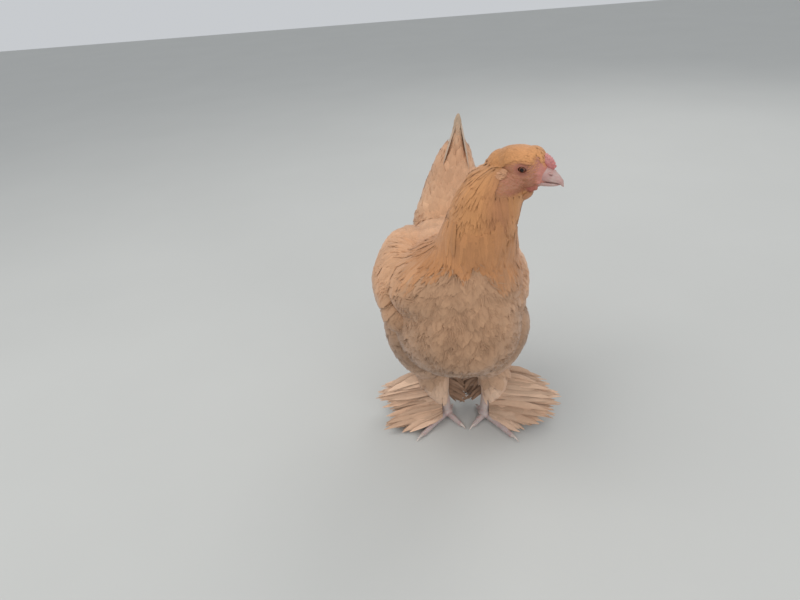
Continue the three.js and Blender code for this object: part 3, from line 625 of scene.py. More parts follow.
class Net:
    """The node tree of one material."""

    def __init__(self, name: str) -> None:
        """Starts an empty material of that name."""
        self.material = bpy.data.materials.new(name)
        self.material.use_nodes = True
        self.tree = self.material.node_tree
        self.tree.nodes.clear()

    def node(
        self, kind: str, settings: dict | None = None, inputs: dict | None = None, out: int | str = 0
    ) -> Socket:
        """Adds a node.

        Args:
            kind: its type.
            settings: its own properties, set first. A list of stops goes to its ramp.
            inputs: numbers, colours or sockets by input name or index.
            out: the output that is wanted.

        Returns:
            That output.
        """
        node = self.tree.nodes.new(kind)
        for name, value in (settings or {}).items():
            if name == "stops":
                ramp = node.color_ramp
                while len(ramp.elements) < len(value):
                    ramp.elements.new(0.5)
                for element, (position, colour) in zip(ramp.elements, value):
                    element.position = position
                    element.color = (*colour, 1)
            else:
                setattr(node, name, value)
        for name, value in (inputs or {}).items():
            if isinstance(value, Socket):
                self.tree.links.new(value.socket, node.inputs[name])
            elif isinstance(value, np.ndarray):
                node.inputs[name].default_value = (*value, 1)
            else:
                node.inputs[name].default_value = value
        return Socket(self, node.outputs[out])

    def maths(self, operation: str, *values: Socket | float) -> Socket:
        """A Math node on numbers or sockets."""
        return self.node("ShaderNodeMath", {"operation": operation}, dict(enumerate(values)))

    def mix(
        self, share: Socket | float, one: Socket | Array, other: Socket | Array, how: str = "MIX"
    ) -> Socket:
        """Two colours mixed."""
        settings = {"data_type": "RGBA", "blend_type": how}
        return self.node("ShaderNodeMix", settings, {0: share, 6: one, 7: other}, 2)

    def ramp(self, value: Socket, low: float, high: float) -> Socket:
        """A smooth share from 0 at low to 1 at high."""
        inputs = {"Value": value, "From Min": low, "From Max": high}
        return self.node("ShaderNodeMapRange", {"interpolation_type": "SMOOTHSTEP"}, inputs)

    def noise(self, scale: float, detail: float = 3.0, squeeze: Sequence[float] = (1, 1, 1)) -> Socket:
        """Noise over Object coordinates, in waves a metre."""
        spots = self.node("ShaderNodeTexCoord", out="Object")
        spots = self.node("ShaderNodeMapping", None, {"Vector": spots, "Scale": tuple(squeeze)})
        return self.node("ShaderNodeTexNoise", None, {"Vector": spots, "Scale": scale, "Detail": detail})

    def attribute(self, name: str) -> Socket:
        """A colour that the mesh carries at its points."""
        return self.node("ShaderNodeAttribute", {"attribute_name": name}, None, "Color")

    def bumped(self, height: Socket, strength: float, distance: float) -> Socket:
        """A normal from heights between 0 and 1, over a distance in metres."""
        inputs = {"Height": height, "Strength": strength, "Distance": distance}
        return self.node("ShaderNodeBump", None, inputs)

    def shaded(self, **inputs: Socket | Array | float) -> bpy.types.Material:
        """Closes the tree with a Principled shader.

        Args:
            inputs: its sockets, with underscores for the spaces in their names.

        Returns:
            The material.
        """
        named = {name.replace("_", " "): value for name, value in inputs.items()}
        shader = self.node("ShaderNodeBsdfPrincipled", None, named, "BSDF")
        output = self.tree.nodes.new("ShaderNodeOutputMaterial")
        self.tree.links.new(shader.socket, output.inputs["Surface"])
        return self.material


@dataclass(frozen=True)
class FeatherFinish:
    """Soft feathers: a shaft, fine slanting barbs, a darker root and patches of tone."""

    name: str
    barbs: float = 34.0  # pairs of barbs along a vane
    slant: float = 7.0
    shaft: float = 0.09  # share of the half width
    patch: float = 0.13  # how much the tone wanders

    def material(self) -> bpy.types.Material:
        """The node tree over the vanes' own map and the coat's colours."""
        net = Net(self.name)
        spots = net.node("ShaderNodeUVMap", {"uv_map": "Vane"})
        across = net.node("ShaderNodeSeparateXYZ", None, {0: spots}, "X")
        along = net.node("ShaderNodeSeparateXYZ", None, {0: spots}, "Y")
        out = net.maths("ABSOLUTE", across * 2 - 1)
        shaft = 1 - net.ramp(out, self.shaft * 0.4, self.shaft)
        ridges = net.maths("SINE", along * (self.barbs * 2 * math.pi) - out * (self.slant * 2 * math.pi))
        ridges = ridges * 0.5 + 0.5
        fine = net.noise(520, 4)
        broad = net.noise(75, 3)
        tone = 1 - self.patch * 0.5 + (broad - 0.5) * (self.patch * 2) + (fine - 0.5) * 0.12
        tone = tone + net.ramp(along, 0.55, 1) * 0.05 - (1 - net.ramp(along, 0.05, 0.5)) * 0.12
        tone = tone + ridges * 0.04 - shaft * 0.05
        colour = net.mix(1.0, net.attribute("plumage"), tone, "MULTIPLY")
        height = ridges * 0.5 + fine * 0.6 + shaft * 0.6
        return net.shaded(
            Base_Color=colour,
            Roughness=0.82,
            Specular_IOR_Level=0.25,
            Sheen_Weight=0.3,
            Sheen_Roughness=0.5,
            Normal=net.bumped(height, 0.35, 0.0004),
        )


@dataclass(frozen=True)
class SkinFinish:
    """Bare skin: fine pebbling, small folds, veins of red."""

    name: str
    red: tuple[float, float, float] = (188, 112, 98)
    gloss: float = 0.5
    flush: float = 0.28  # share of the red in the veins

    def material(self) -> bpy.types.Material:
        """The node tree over the skin's own colours."""
        net = Net(self.name)
        pebbles = net.node(
            "ShaderNodeTexVoronoi",
            {"feature": "F1"},
            {"Vector": net.node("ShaderNodeTexCoord", out="Object"), "Scale": 1300.0},
            "Distance",
        )
        fine, broad = net.noise(900, 5), net.noise(160, 4)
        veins = net.ramp(broad, 0.45, 0.7) * self.flush
        colour = net.mix(veins, net.attribute("plumage"), linear(*self.red))
        tone = 0.9 + fine * 0.2 - pebbles * 0.16
        colour = net.mix(1.0, colour, tone, "MULTIPLY")
        height = fine * 0.5 + (1 - pebbles) * 0.5 + broad * 0.5
        return net.shaded(
            Base_Color=colour,
            Roughness=self.gloss + fine * 0.2,
            Specular_IOR_Level=0.35,
            Subsurface_Weight=0.12,
            Subsurface_Radius=(0.0025, 0.001, 0.0006),
            Subsurface_Scale=1.0,
            Normal=net.bumped(height, 0.5, 0.00035),
        )


@dataclass(frozen=True)
class HornFinish:
    """Horn of a bill or a claw, with growth lines along it and patches of pale and dark."""

    name: str
    pale: tuple[float, float, float]
    dark: tuple[float, float, float]
    squeeze: tuple[float, float, float] = (1, 1, 3)

    def material(self) -> bpy.types.Material:
        """The node tree, over Object coordinates."""
        net = Net(self.name)
        streaks = net.noise(420, 4, self.squeeze)
        cloud = net.noise(90, 2)
        share = net.ramp(cloud * 0.6 + streaks * 0.4, 0.35, 0.65)
        colour = net.mix(share, linear(*self.pale), linear(*self.dark))
        return net.shaded(
            Base_Color=colour,
            Roughness=0.34 + streaks * 0.2,
            Coat_Weight=0.12,
            Coat_Roughness=0.25,
            Subsurface_Weight=0.08,
            Subsurface_Radius=(0.0015, 0.001, 0.0007),
            Subsurface_Scale=1.0,
            Normal=net.bumped(streaks, 0.3, 0.00025),
        )


@dataclass(frozen=True)
class EyeFinish:
    """A wet eye: a dark pupil in a brown iris, on the eye's own map."""

    name: str = "eye_wet"
    pupil: float = 0.4
    iris: float = 0.8

    def material(self) -> bpy.types.Material:
        """The node tree over distance from the middle of the gaze."""
        net = Net(self.name)
        spots = net.node("ShaderNodeUVMap", {"uv_map": "Gaze"})
        spots = net.node("ShaderNodeVectorMath", {"operation": "SUBTRACT"}, {0: spots, 1: (0.5, 0.5, 0)})
        spots = net.node("ShaderNodeVectorMath", {"operation": "SCALE"}, {0: spots, "Scale": 2.0})
        far = net.node("ShaderNodeVectorMath", {"operation": "LENGTH"}, {0: spots}, "Value")
        rays = net.node("ShaderNodeTexNoise", None, {"Vector": spots, "Scale": 9.0, "Detail": 5.0})
        iris = net.mix(net.ramp(far + rays * 0.25, 0.5, 1.0), linear(112, 62, 38), linear(70, 38, 24))
        white = net.mix(net.ramp(far, self.iris, self.iris + 0.06), iris, linear(24, 16, 13))
        colour = net.mix(net.ramp(far, self.pupil - 0.03, self.pupil + 0.03), linear(20, 11, 8), white)
        return net.shaded(
            Base_Color=colour,
            Roughness=0.2,
            Specular_IOR_Level=0.3,
            Coat_Weight=0.12,
            Coat_Roughness=0.05,
            Normal=net.bumped(rays, 0.05, 0.0001),
        )


@dataclass(frozen=True)
class FloorFinish:
    """Plain pale floor with a little dust."""

    name: str = "floor_pale"

    def material(self) -> bpy.types.Material:
        """The node tree, over Object coordinates."""
        net = Net(self.name)
        cloud = net.noise(3, 5)
        colour = net.mix(cloud, linear(192, 193, 190), linear(199, 200, 197))
        grain = net.bumped(net.noise(300, 3), 0.1, 0.0004)
        return net.shaded(Base_Color=colour, Roughness=0.8 + cloud * 0.1, Normal=grain)


@dataclass(frozen=True)
class Markings:
    """The bird's colours, the same on its skin and its coat, with some painted shade and light among them.
    """

    crown: Tone = (218, 156, 104)
    hackle: Tone = (200, 142, 92)
    # painted shade: the darker tone under the chin
    throat: Tone = (172, 118, 84)
    cape: Tone = (192, 134, 88)
    back: Tone = (214, 164, 124)
    saddle: Tone = (210, 168, 134)
    tail: Tone = (203, 158, 124)
    tail_tip: Tone = (190, 166, 142)
    breast: Tone = (186, 146, 114)
    # painted shade: the belly's darker tone, low on the torso and over the tops of the thighs
    belly: Tone = (160, 126, 99)
    thigh: Tone = (192, 156, 128)
    # partly the foot feathers' own paler tone, partly painted light against the shade that the body casts on
    # the feet
    foot: Tone = (228, 194, 167)
    # a darker, browner tone towards the low outer tips of the foot feathers
    darker_low_tips: Tone = (172, 132, 102)
    # painted shade: the one dark tone of the hock feathers, for the shade between the legs
    shade: Tone = (158, 125, 101)
    # painted shade over the eye, on the crown's lowest feathers
    brow: Tone = (176, 118, 82)
    face: Tone = (186, 131, 105)
    lore: Tone = (200, 134, 120)
    hind_face: Tone = (182, 126, 88)
    # painted shade on the brow, above and before the eye
    brow_ridge_shade: Tone = (140, 88, 66)
    # painted shade under the jaw
    jaw: Tone = (150, 90, 72)
    # painted shade in the socket round the eye
    socket: Tone = (150, 92, 76)
    # strength, seed and wavelength of what drifts over the coat
    drifts: tuple = ((0.045, 5, 52), (0.035, 6, 21))

    def layers(self, points: Array, part: Part) -> tuple[Tone, list[tuple[Tone, Array]]]:
        """The tones of one part of the coat.

        Args:
            points: where the tips lie.
            part: the part that they grow from.

        Returns:
            The tone at the bottom, and each further one with the share of it at every point.
        """
        x, y, z = points.T
        if part is Part.HEAD:
            ahead, _, up = on_head(points).T
            # painted shade: the crown's feathers darker low at the front, over the eye
            brow = ramped(up, 4, -8) * ramped(ahead, -24, -10) * 0.8
            return self.crown, [(self.hackle, ramped(ahead, -6, -26)), (self.brow, brow)]
        if part is Part.NECK:
            # painted shade: the neck darker under the chin
            chin_shade = ramped(y, -86, -102) * ramped(z, 290, 320) * ramped(x, 10, 45)
            behind = ramped(y, -30, 30) * ramped(z, 320, 270)
            # painted light: the back's pale tone laid over the bird's right shoulder only, the lit side
            shoulder = ramped(x, -54, -86) * ramped(z, 300, 280)
            return self.cape, [
                (self.hackle, ramped(z, 270, 350)),
                (self.breast, ramped(z, 284, 244) * 0.45),
                (self.throat, chin_shade),
                (self.back, np.maximum(behind, shoulder) * 0.9),
            ]
        if part is Part.TAIL:
            return self.saddle, [(self.tail, ramped(z, 290, 345)), (self.tail_tip, ramped(z, 370, 405))]
        if part in (Part.THIGH_RIGHT, Part.THIGH_LEFT):
            # the belly's tone over the tops of the thighs is painted shade beneath the body
            return self.thigh, [(self.belly, ramped(z, 90, 150))]
        if part in (Part.PLUME_RIGHT, Part.PLUME_LEFT):
            # browner towards the low outer tips of the fans
            darker_low_tips = ramped(z, 48, 12) * ramped(np.abs(x), 60, 105) * 0.5
            # the foot's pale tone is partly painted light, against the shade under the body
            return self.foot, [(self.thigh, ramped(z, 30, 80)), (self.darker_low_tips, darker_low_tips)]
        upper = np.maximum(ramped(y, -60, 10), ramped(np.abs(x + 8), 50, 80)) * ramped(z, 205, 262)
        over_rump = ramped(y, 40, 110)
        # the bottom tone, the belly's, is painted shade: the torso darker low down
        return self.belly, [(self.breast, ramped(z, 118, 226)), (self.back, upper), (self.saddle, over_rump)]

    def coat(self, points: Array, part: Part) -> Array:
        """The colour of the coat.

        Args:
            points: where the tips lie.
            part: the part that they grow from.

        Returns:
            A linear colour a point.
        """
        colour = layered(*self.layers(points, part))
        if part in (Part.NECK, Part.WING_RIGHT):
            near = ramped(np.linalg.norm(points - SPECKS, axis=1), 20, 12)
            colour = colour * (1 - 0.5 * near * (Drift(77, 7).at(points) > 0.9))[:, None]
        wander = 1
        for strength, seed, wavelength in self.drifts:
            wander = wander + strength * Drift(seed, wavelength).at(points)
        return np.clip(colour * wander[:, None], 0, 1)

    def bare(self, local: Array, eye_x: float) -> Array:
        """The colour of the face's bare skin, with painted shade on the brow, round the eyes and under the
        jaw.

        Args:
            local: points on the head's own axes.
            eye_x: how far ahead on them the eyes are.

        Returns:
            A linear colour a point.
        """
        x, _, z = local.T
        layers = (
            (self.lore, ramped(x, 6, 20)),
            (self.hind_face, np.maximum(ramped(x, -8, -22), ramped(z, -14, -26)) * 0.7),
            # painted shade on the brow
            (self.brow_ridge_shade, np.exp(-(((x - 6) / 7) ** 2) - ((z - 6) / 2.2) ** 2) * 0.55),
            # painted shade under the jaw
            (self.jaw, ramped(z, -18, -24) * ramped(x, -14, -2) * 0.75),
            # painted shade round the eye
            (self.socket, ramped(np.hypot(x - eye_x, z), 9.5, 5.0) * 0.7),
        )
        return layered(self.face, layers)


@dataclass(frozen=True)
class Vane:
    """The cut of one feather: a closed thin blade with a flat underside.

    Its stations are shares of its length and its widths are shares of its half width.
    """

    stations: tuple[float, ...]
    widths: tuple[float, ...]
    columns: int = 4
    camber: float = 0.16
    rounding: float = 0.5
    fray: float = 0.2

    def spots(self) -> Array:
        """Each point's share across and along, station by station."""
        across = np.linspace(0, 1, self.columns + 1)
        return np.array([(u, v) for v in self.stations for u in across])

    def faces(self) -> list[list[int]]:
        """The faces of the blade over those points."""
        bm = bmesh.new()
        segments = len(self.stations) - 1
        bmesh.ops.create_grid(bm, x_segments=self.columns, y_segments=segments, size=1.0)
        row = self.columns + 1

        def index(vert: bmesh.types.BMVert) -> int:
            """The point's place in the list of spots."""
            column = round((vert.co.x + 1) / 2 * self.columns)
            return round((vert.co.y + 1) / 2 * segments) * row + column

        faces = [[index(vert) for vert in face.verts] for face in bm.faces]
        bm.free()
        for k in range(segments):
            left, right = k * row, k * row + self.columns
            faces.append([left, left + row, right + row, right])
        faces.append(list(range(self.columns, -1, -1)))
        faces.append([segments * row + column for column in range(row)])
        return faces


CONTOUR = Vane((0, 0.16, 0.4, 0.66, 0.87, 1), (0.3, 0.62, 0.92, 1, 0.88, 0.46), 4, 0.09, 0.8, 0.14)
HACKLE = Vane((0, 0.14, 0.36, 0.62, 0.84, 1), (0.34, 0.74, 1, 0.88, 0.56, 0.12), 2, 0.16, 0.3, 0.1)
FLIGHT = Vane((0, 0.15, 0.4, 0.68, 0.9, 1), (0.3, 0.6, 0.9, 1, 0.86, 0.42), 4, 0.1, 0.5, 0.12)
STREAMER = Vane((0, 0.12, 0.34, 0.6, 0.82, 1), (0.3, 0.66, 0.95, 1, 0.74, 0.2), 4, 0.14, 0.7, 0.3)
BARB = Vane((0, 0.38, 0.74, 1), (0.5, 1, 0.7, 0.08), 2, 0.3, 0.2, 0.05)
SCALY = Vane((0, 0.32, 0.72, 1), (0.5, 0.95, 1, 0.34), 2, 0.22, 0.3, 0.2)


@dataclass
class Plumage:
    """Feathers gathered into one piece."""

    WAVER = (0.93, 1.05)  # least and most share of its width at a point of an edge
    THICKNESS = 0.06  # along the middle, as a share of the half width
    CORNER = 0.4  # share of the rounding that the last station but one takes
    SHARP = 55  # degrees

    name: str
    vane: Vane
    seed: int
    batches: list[tuple[Array, ...]] = field(default_factory=list)

    def add(self, *batch: Array) -> None:
        """Adds feathers.

        Args:
            batch: points along each shaft at the vane's stations, the way that each of them faces, half
                widths, linear colours, and each root's place on the map of its form.
        """
        self.batches.append(batch)

    def dye(self, tone: Tone) -> None:
        """Gives every feather the same tone, that varies a little."""
        draw = np.random.default_rng(self.seed)
        for _, _, _, colours, _ in self.batches:
            colours[:] = linear(*tone) * (1 + 0.05 * draw.normal(size=(len(colours), 1)))

    def mesh(self) -> bpy.types.Mesh:
        """All the feathers as one mesh with their maps and colours.

        Returns:
            The mesh, in millimetres on the bird's axes.
        """
        vane = self.vane
        draw = np.random.default_rng(self.seed)
        path, out, half, colour, roots = (np.concatenate(rows) for rows in zip(*self.batches))
        count, row = len(path), vane.columns + 1
        along = unit(np.gradient(path, axis=1))
        out = unit(out - np.sum(out * along, axis=-1, keepdims=True) * along)
        across = np.cross(along, out)
        edge = np.linspace(-1, 1, row)
        widths = np.array(vane.widths)[None, :, None] * half[:, None, None]
        sideways = widths * edge[None, None, :]
        sideways = sideways * draw.uniform(*self.WAVER, sideways.shape)
        lower = vane.camber * widths * (1 - edge**2)[None, None, :] + self.THICKNESS * half[:, None, None]
        lower = lower * np.where(np.abs(edge) < 1, 1, 0)[None, None, :]
        back = np.zeros_like(sideways)
        back[:, -1, :] = vane.rounding * half[:, None] * -(edge**2)[None, :]
        back[:, -1, :] += vane.fray * half[:, None] * draw.uniform(-1, 1, (count, row))
        back[:, -2, [0, -1]] -= (vane.rounding * half * self.CORNER)[:, None]
        points = path[:, :, None, :] + across[:, :, None, :] * sideways[..., None]
        points = points + out[:, :, None, :] * lower[..., None] + along[:, :, None, :] * back[..., None]
        return self.built(points.reshape(-1, 3), colour, roots)

    def built(self, points: Array, colour: Array, roots: Array) -> bpy.types.Mesh:
        """The mesh over the feathers' points.

        Args:
            points: all of them, feather by feather.
            colour: linear colour of each feather.
            roots: each root's place on the map of its form.

        Returns:
            The mesh.
        """
        spots, faces = self.vane.spots(), self.vane.faces()
        count, stride = len(roots), len(spots)
        corners = np.concatenate([np.array(face) for face in faces])
        sizes = np.array([len(face) for face in faces])
        starts = np.concatenate(([0], np.cumsum(sizes)[:-1]))
        each = np.arange(count)[:, None]
        mesh = bpy.data.meshes.new(self.name)
        mesh.vertices.add(len(points))
        mesh.vertices.foreach_set("co", points.ravel())
        mesh.loops.add(count * len(corners))
        mesh.loops.foreach_set("vertex_index", (corners[None, :] + stride * each).ravel())
        mesh.polygons.add(count * len(faces))
        mesh.polygons.foreach_set("loop_start", (starts[None, :] + len(corners) * each).ravel())
        for name, layer in (
            ("Vane", np.tile(spots[corners], (count, 1))),
            ("OFBake", (roots[:, None, :] + (spots[corners] - 0.5)[None] * BAKE_PATCH).reshape(-1, 2)),
        ):
            mesh.uv_layers.new(name=name).data.foreach_set("uv", layer.ravel())
        tinted(mesh, np.repeat(colour, stride, axis=0))
        mesh.update(calc_edges=True)
        smoothed(mesh, self.SHARP)
        return mesh


@dataclass(frozen=True)
class Tract:
    """How the feathers of one region grow. Lengths are in millimetres and turns in degrees."""

    spacing: float
    length: float
    half_width: float
    depth: float  # of the tips over the skin
    lie: Place  # the way they run, from roots and the skin's normals there
    sunk: float = -1.5
    rise: float = 0.5  # share of the depth where the vane comes out
    stray: float = 9.0
    swirl: float = 10.0
    uneven: float = 0.12  # share by which the size varies
    ruffle: float = 0.035  # share by which the depth varies
    clump: float = 26.0  # wavelength of what drifts
    border: Callable[[Array], Array] | None = None  # lowest height of the tips, round the form
    ease: Callable[[Array], Array] | None = None  # share of the depth at a point


class Hide:
    """The skin of the whole bird, as a surface that feathers grow on and lie along."""

    STEPS = 8  # along one path
    TRIES = 5  # for each root that an even cover would need
    RAGGED = 5.0  # millimetres by which a border wanders from feather to feather
    SHORTEST = 12  # millimetres of a feather that a border cuts
    LEAST_SPAN = 0.72  # share of its length that a path has to cross in a straight line
    LEAST_EVEN = 0.3  # cosine between the ways out of the skin at root and tip
    LEAST_STRAIGHT = 0.4  # cosine between one stretch of a shaft and the next
    TONES = 0.04  # share by which the colour varies from feather to feather

    def __init__(self, mesh: bpy.types.Mesh, forms: dict[Part, Form]) -> None:
        """Reads a skin and tells the part that each of its triangles belongs to."""
        mesh.calc_loop_triangles()
        corners = np.empty(len(mesh.loop_triangles) * 3, dtype=np.int32)
        mesh.loop_triangles.foreach_get("vertices", corners)
        self.triangles = corners.reshape(-1, 3)
        self.points = corners_of(mesh)
        spots = self.points[self.triangles]
        self.middles = spots.mean(axis=1)
        normals = np.cross(spots[:, 1] - spots[:, 0], spots[:, 2] - spots[:, 0])
        self.areas = np.linalg.norm(normals, axis=1) / 2
        self.normals = unit(normals)
        self.forms = forms
        distances = np.stack([form.away(self.middles) for form in forms.values()])
        self.parts = np.array([part.value for part in forms])[distances.argmin(axis=0)]
        self.tree = BVHTree.FromPolygons(self.points.tolist(), self.triangles.tolist())

    def scattered(self, where: Array, spacing: float, draw: np.random.Generator) -> tuple[Array, Array]:
        """Even but irregular roots.

        Args:
            where: which triangles may carry them.
            spacing: least distance between two.
            draw: where the random numbers come from.

        Returns:
            The triangle and the point of each root.
        """
        weights = np.where(where, self.areas, 0)
        tries = int(weights.sum() / spacing**2 * self.TRIES) + 8
        picks = draw.choice(len(weights), tries, p=weights / weights.sum())
        shares = draw.uniform(size=(tries, 2))
        folded = shares.sum(axis=1) > 1
        shares[folded] = 1 - shares[folded]
        a, b, c = np.moveaxis(self.points[self.triangles[picks]], 1, 0)
        spots = a + (b - a) * shares[:, :1] + (c - a) * shares[:, 1:]
        tree = KDTree(tries)
        for i, spot in enumerate(spots):
            tree.insert(spot, i)
        tree.balance()
        crowded = np.zeros(tries, bool)
        kept = []
        for i, spot in enumerate(spots):
            if not crowded[i]:
                kept.append(i)
                for _, j, _ in tree.find_range(spot, spacing):
                    crowded[j] = True
        return picks[kept], spots[kept]

    def followed(self, roots: Array, headings: Array, lengths: Array) -> tuple[Array, Array]:
        """Paths over the skin.

        Args:
            roots: where they start.
            headings: the way that each sets out.
            lengths: how far each goes.

        Returns:
            The points along each path, in even steps, and the way out of the skin there.
        """
        paths = np.empty((len(roots), self.STEPS + 1, 3))
        outs = np.empty_like(paths)
        for i, (root, heading, length) in enumerate(zip(roots, headings, lengths)):
            spot, ahead = Vector(root), Vector(heading)
            _, out, _, _ = self.tree.find_nearest(spot)
            step = float(length) / self.STEPS
            for k in range(self.STEPS + 1):
                paths[i, k], outs[i, k] = spot, out
                found, out, _, _ = self.tree.find_nearest(spot + ahead * step)
                ahead = (found - spot).normalized()
                ahead = (ahead - out * ahead.dot(out)).normalized()
                spot = found
        outs = unit(outs + np.roll(outs, 1, axis=1) + np.roll(outs, -1, axis=1) + outs)
        return paths, outs

    def grow(self, plumage: Plumage, tract: Tract, part: Part, where: Array, marks: Markings) -> None:
        """Grows one tract of feathers into a piece.

        Args:
            plumage: the piece.
            tract: how they grow.
            part: the part of the body, for their colour and their map.
            where: which triangles carry their roots.
            marks: the bird's colours.
        """
        draw = np.random.default_rng(plumage.seed + part.value)
        picks, roots = self.scattered(where, tract.spacing, draw)
        normals = self.normals[picks]
        headings = tract.lie(roots, normals)
        headings = unit(headings - np.sum(headings * normals, axis=1, keepdims=True) * normals)
        count = len(roots)
        drift = Drift(plumage.seed + 3, tract.clump).at(roots)
        turns = np.radians(tract.stray * draw.normal(size=count) + tract.swirl * drift)
        headings = turned(headings, normals, turns)
        size = 1 + tract.uneven * draw.normal(size=count).clip(-2, 2)
        paths, outs = self.followed(roots, headings, tract.length * size)
        reach = np.ones(count)
        span = np.linalg.norm(paths[:, -1] - paths[:, 0], axis=1) / (tract.length * size)
        if tract.border is not None:
            low = tract.border(paths.reshape(-1, 3)).reshape(count, -1)
            over = paths[:, :, 2] > low + self.RAGGED * draw.normal(size=count).clip(-1.6, 1.6)[:, None]
            reach = over.sum(axis=1) / (self.STEPS + 1)
        even = np.sum(outs[:, 0] * outs[:, -1], axis=1) > self.LEAST_EVEN
        whole = (reach * tract.length > self.SHORTEST) | (tract.border is None)
        kept = even & (span > self.LEAST_SPAN) & whole
        paths, outs, size, reach, drift = paths[kept], outs[kept], size[kept], reach[kept], drift[kept]
        stations = np.array(plumage.vane.stations)
        spots = stations[None, :] * reach[:, None] * self.STEPS
        before = np.minimum(spots.astype(int), self.STEPS - 1)
        share = (spots - before)[..., None]
        each = np.arange(len(paths))[:, None]
        path = paths[each, before] * (1 - share) + paths[each, before + 1] * share
        out = unit(outs[each, before] * (1 - share) + outs[each, before + 1] * share)
        deep = tract.depth * (1 + tract.ruffle * (draw.normal(size=len(path)).clip(-2, 2) + drift))
        heights = deep[:, None] * (tract.rise + (1 - tract.rise) * stations)[None, :]
        if tract.ease is not None:
            heights = heights * tract.ease(path.reshape(-1, 3)).reshape(heights.shape)
        heights = np.where(stations[None, :] == 0, tract.sunk, heights)
        above = path + out * heights[..., None]
        onward = np.sum(np.diff(above, axis=1) * np.diff(path, axis=1), axis=-1)
        course = unit(np.diff(above, axis=1))
        kinks = np.sum(course[:, 1:-1] * course[:, 2:], axis=-1)
        free = (onward > 0).all(axis=1) & (kinks > self.LEAST_STRAIGHT).all(axis=1)
        half = tract.half_width * size
        shades = draw.normal(size=(len(path), 1)).clip(-2, 2)
        colour = np.clip(marks.coat(paths[:, -1], part) * (1 + self.TONES * shades), 0, 1)
        spots = self.forms[part].unwrapped(roots[kept])
        plumage.add(above[free], out[free], half[free], colour[free], spots[free])


def flowing(*way: float) -> Place:
    """A lie that runs one way everywhere."""
    return lambda points, normals: np.tile(np.array(way, float), (len(points), 1))


@dataclass
class Assembly:
    """Where finished pieces are put together."""

    origin: Vector
    marks: Markings = field(default_factory=Markings)
    materials: dict[str, bpy.types.Material] = field(default_factory=dict)

    def finish(self, maker: object) -> bpy.types.Material:
        """The material of a finish, made once."""
        if maker.name not in self.materials:
            self.materials[maker.name] = maker.material()
        return self.materials[maker.name]

    def put(self, name: str, mesh: bpy.types.Mesh, maker: object, slot: str, nodes: Sequence[str]) -> None:
        """Puts a piece in its place.

        Args:
            name: the piece's name.
            mesh: its shape in millimetres on the bird's axes.
            maker: its finish.
            slot: the record's material slot. It is not used.
            nodes: the nodes of the frame that it stands for.
        """
        mesh.transform(Matrix.Translation(self.origin) @ Matrix.Scale(METRES, 4))
        mesh.materials.clear()
        mesh.materials.append(self.finish(maker))
        piece = bpy.data.objects.new(name, mesh)
        mesh.name = name
        bpy.context.scene.collection.objects.link(piece)
        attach(piece, "root")
        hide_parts(*nodes)
        mesh.calc_loop_triangles()
        log.info("%s: %d triangles", name, len(mesh.loop_triangles))


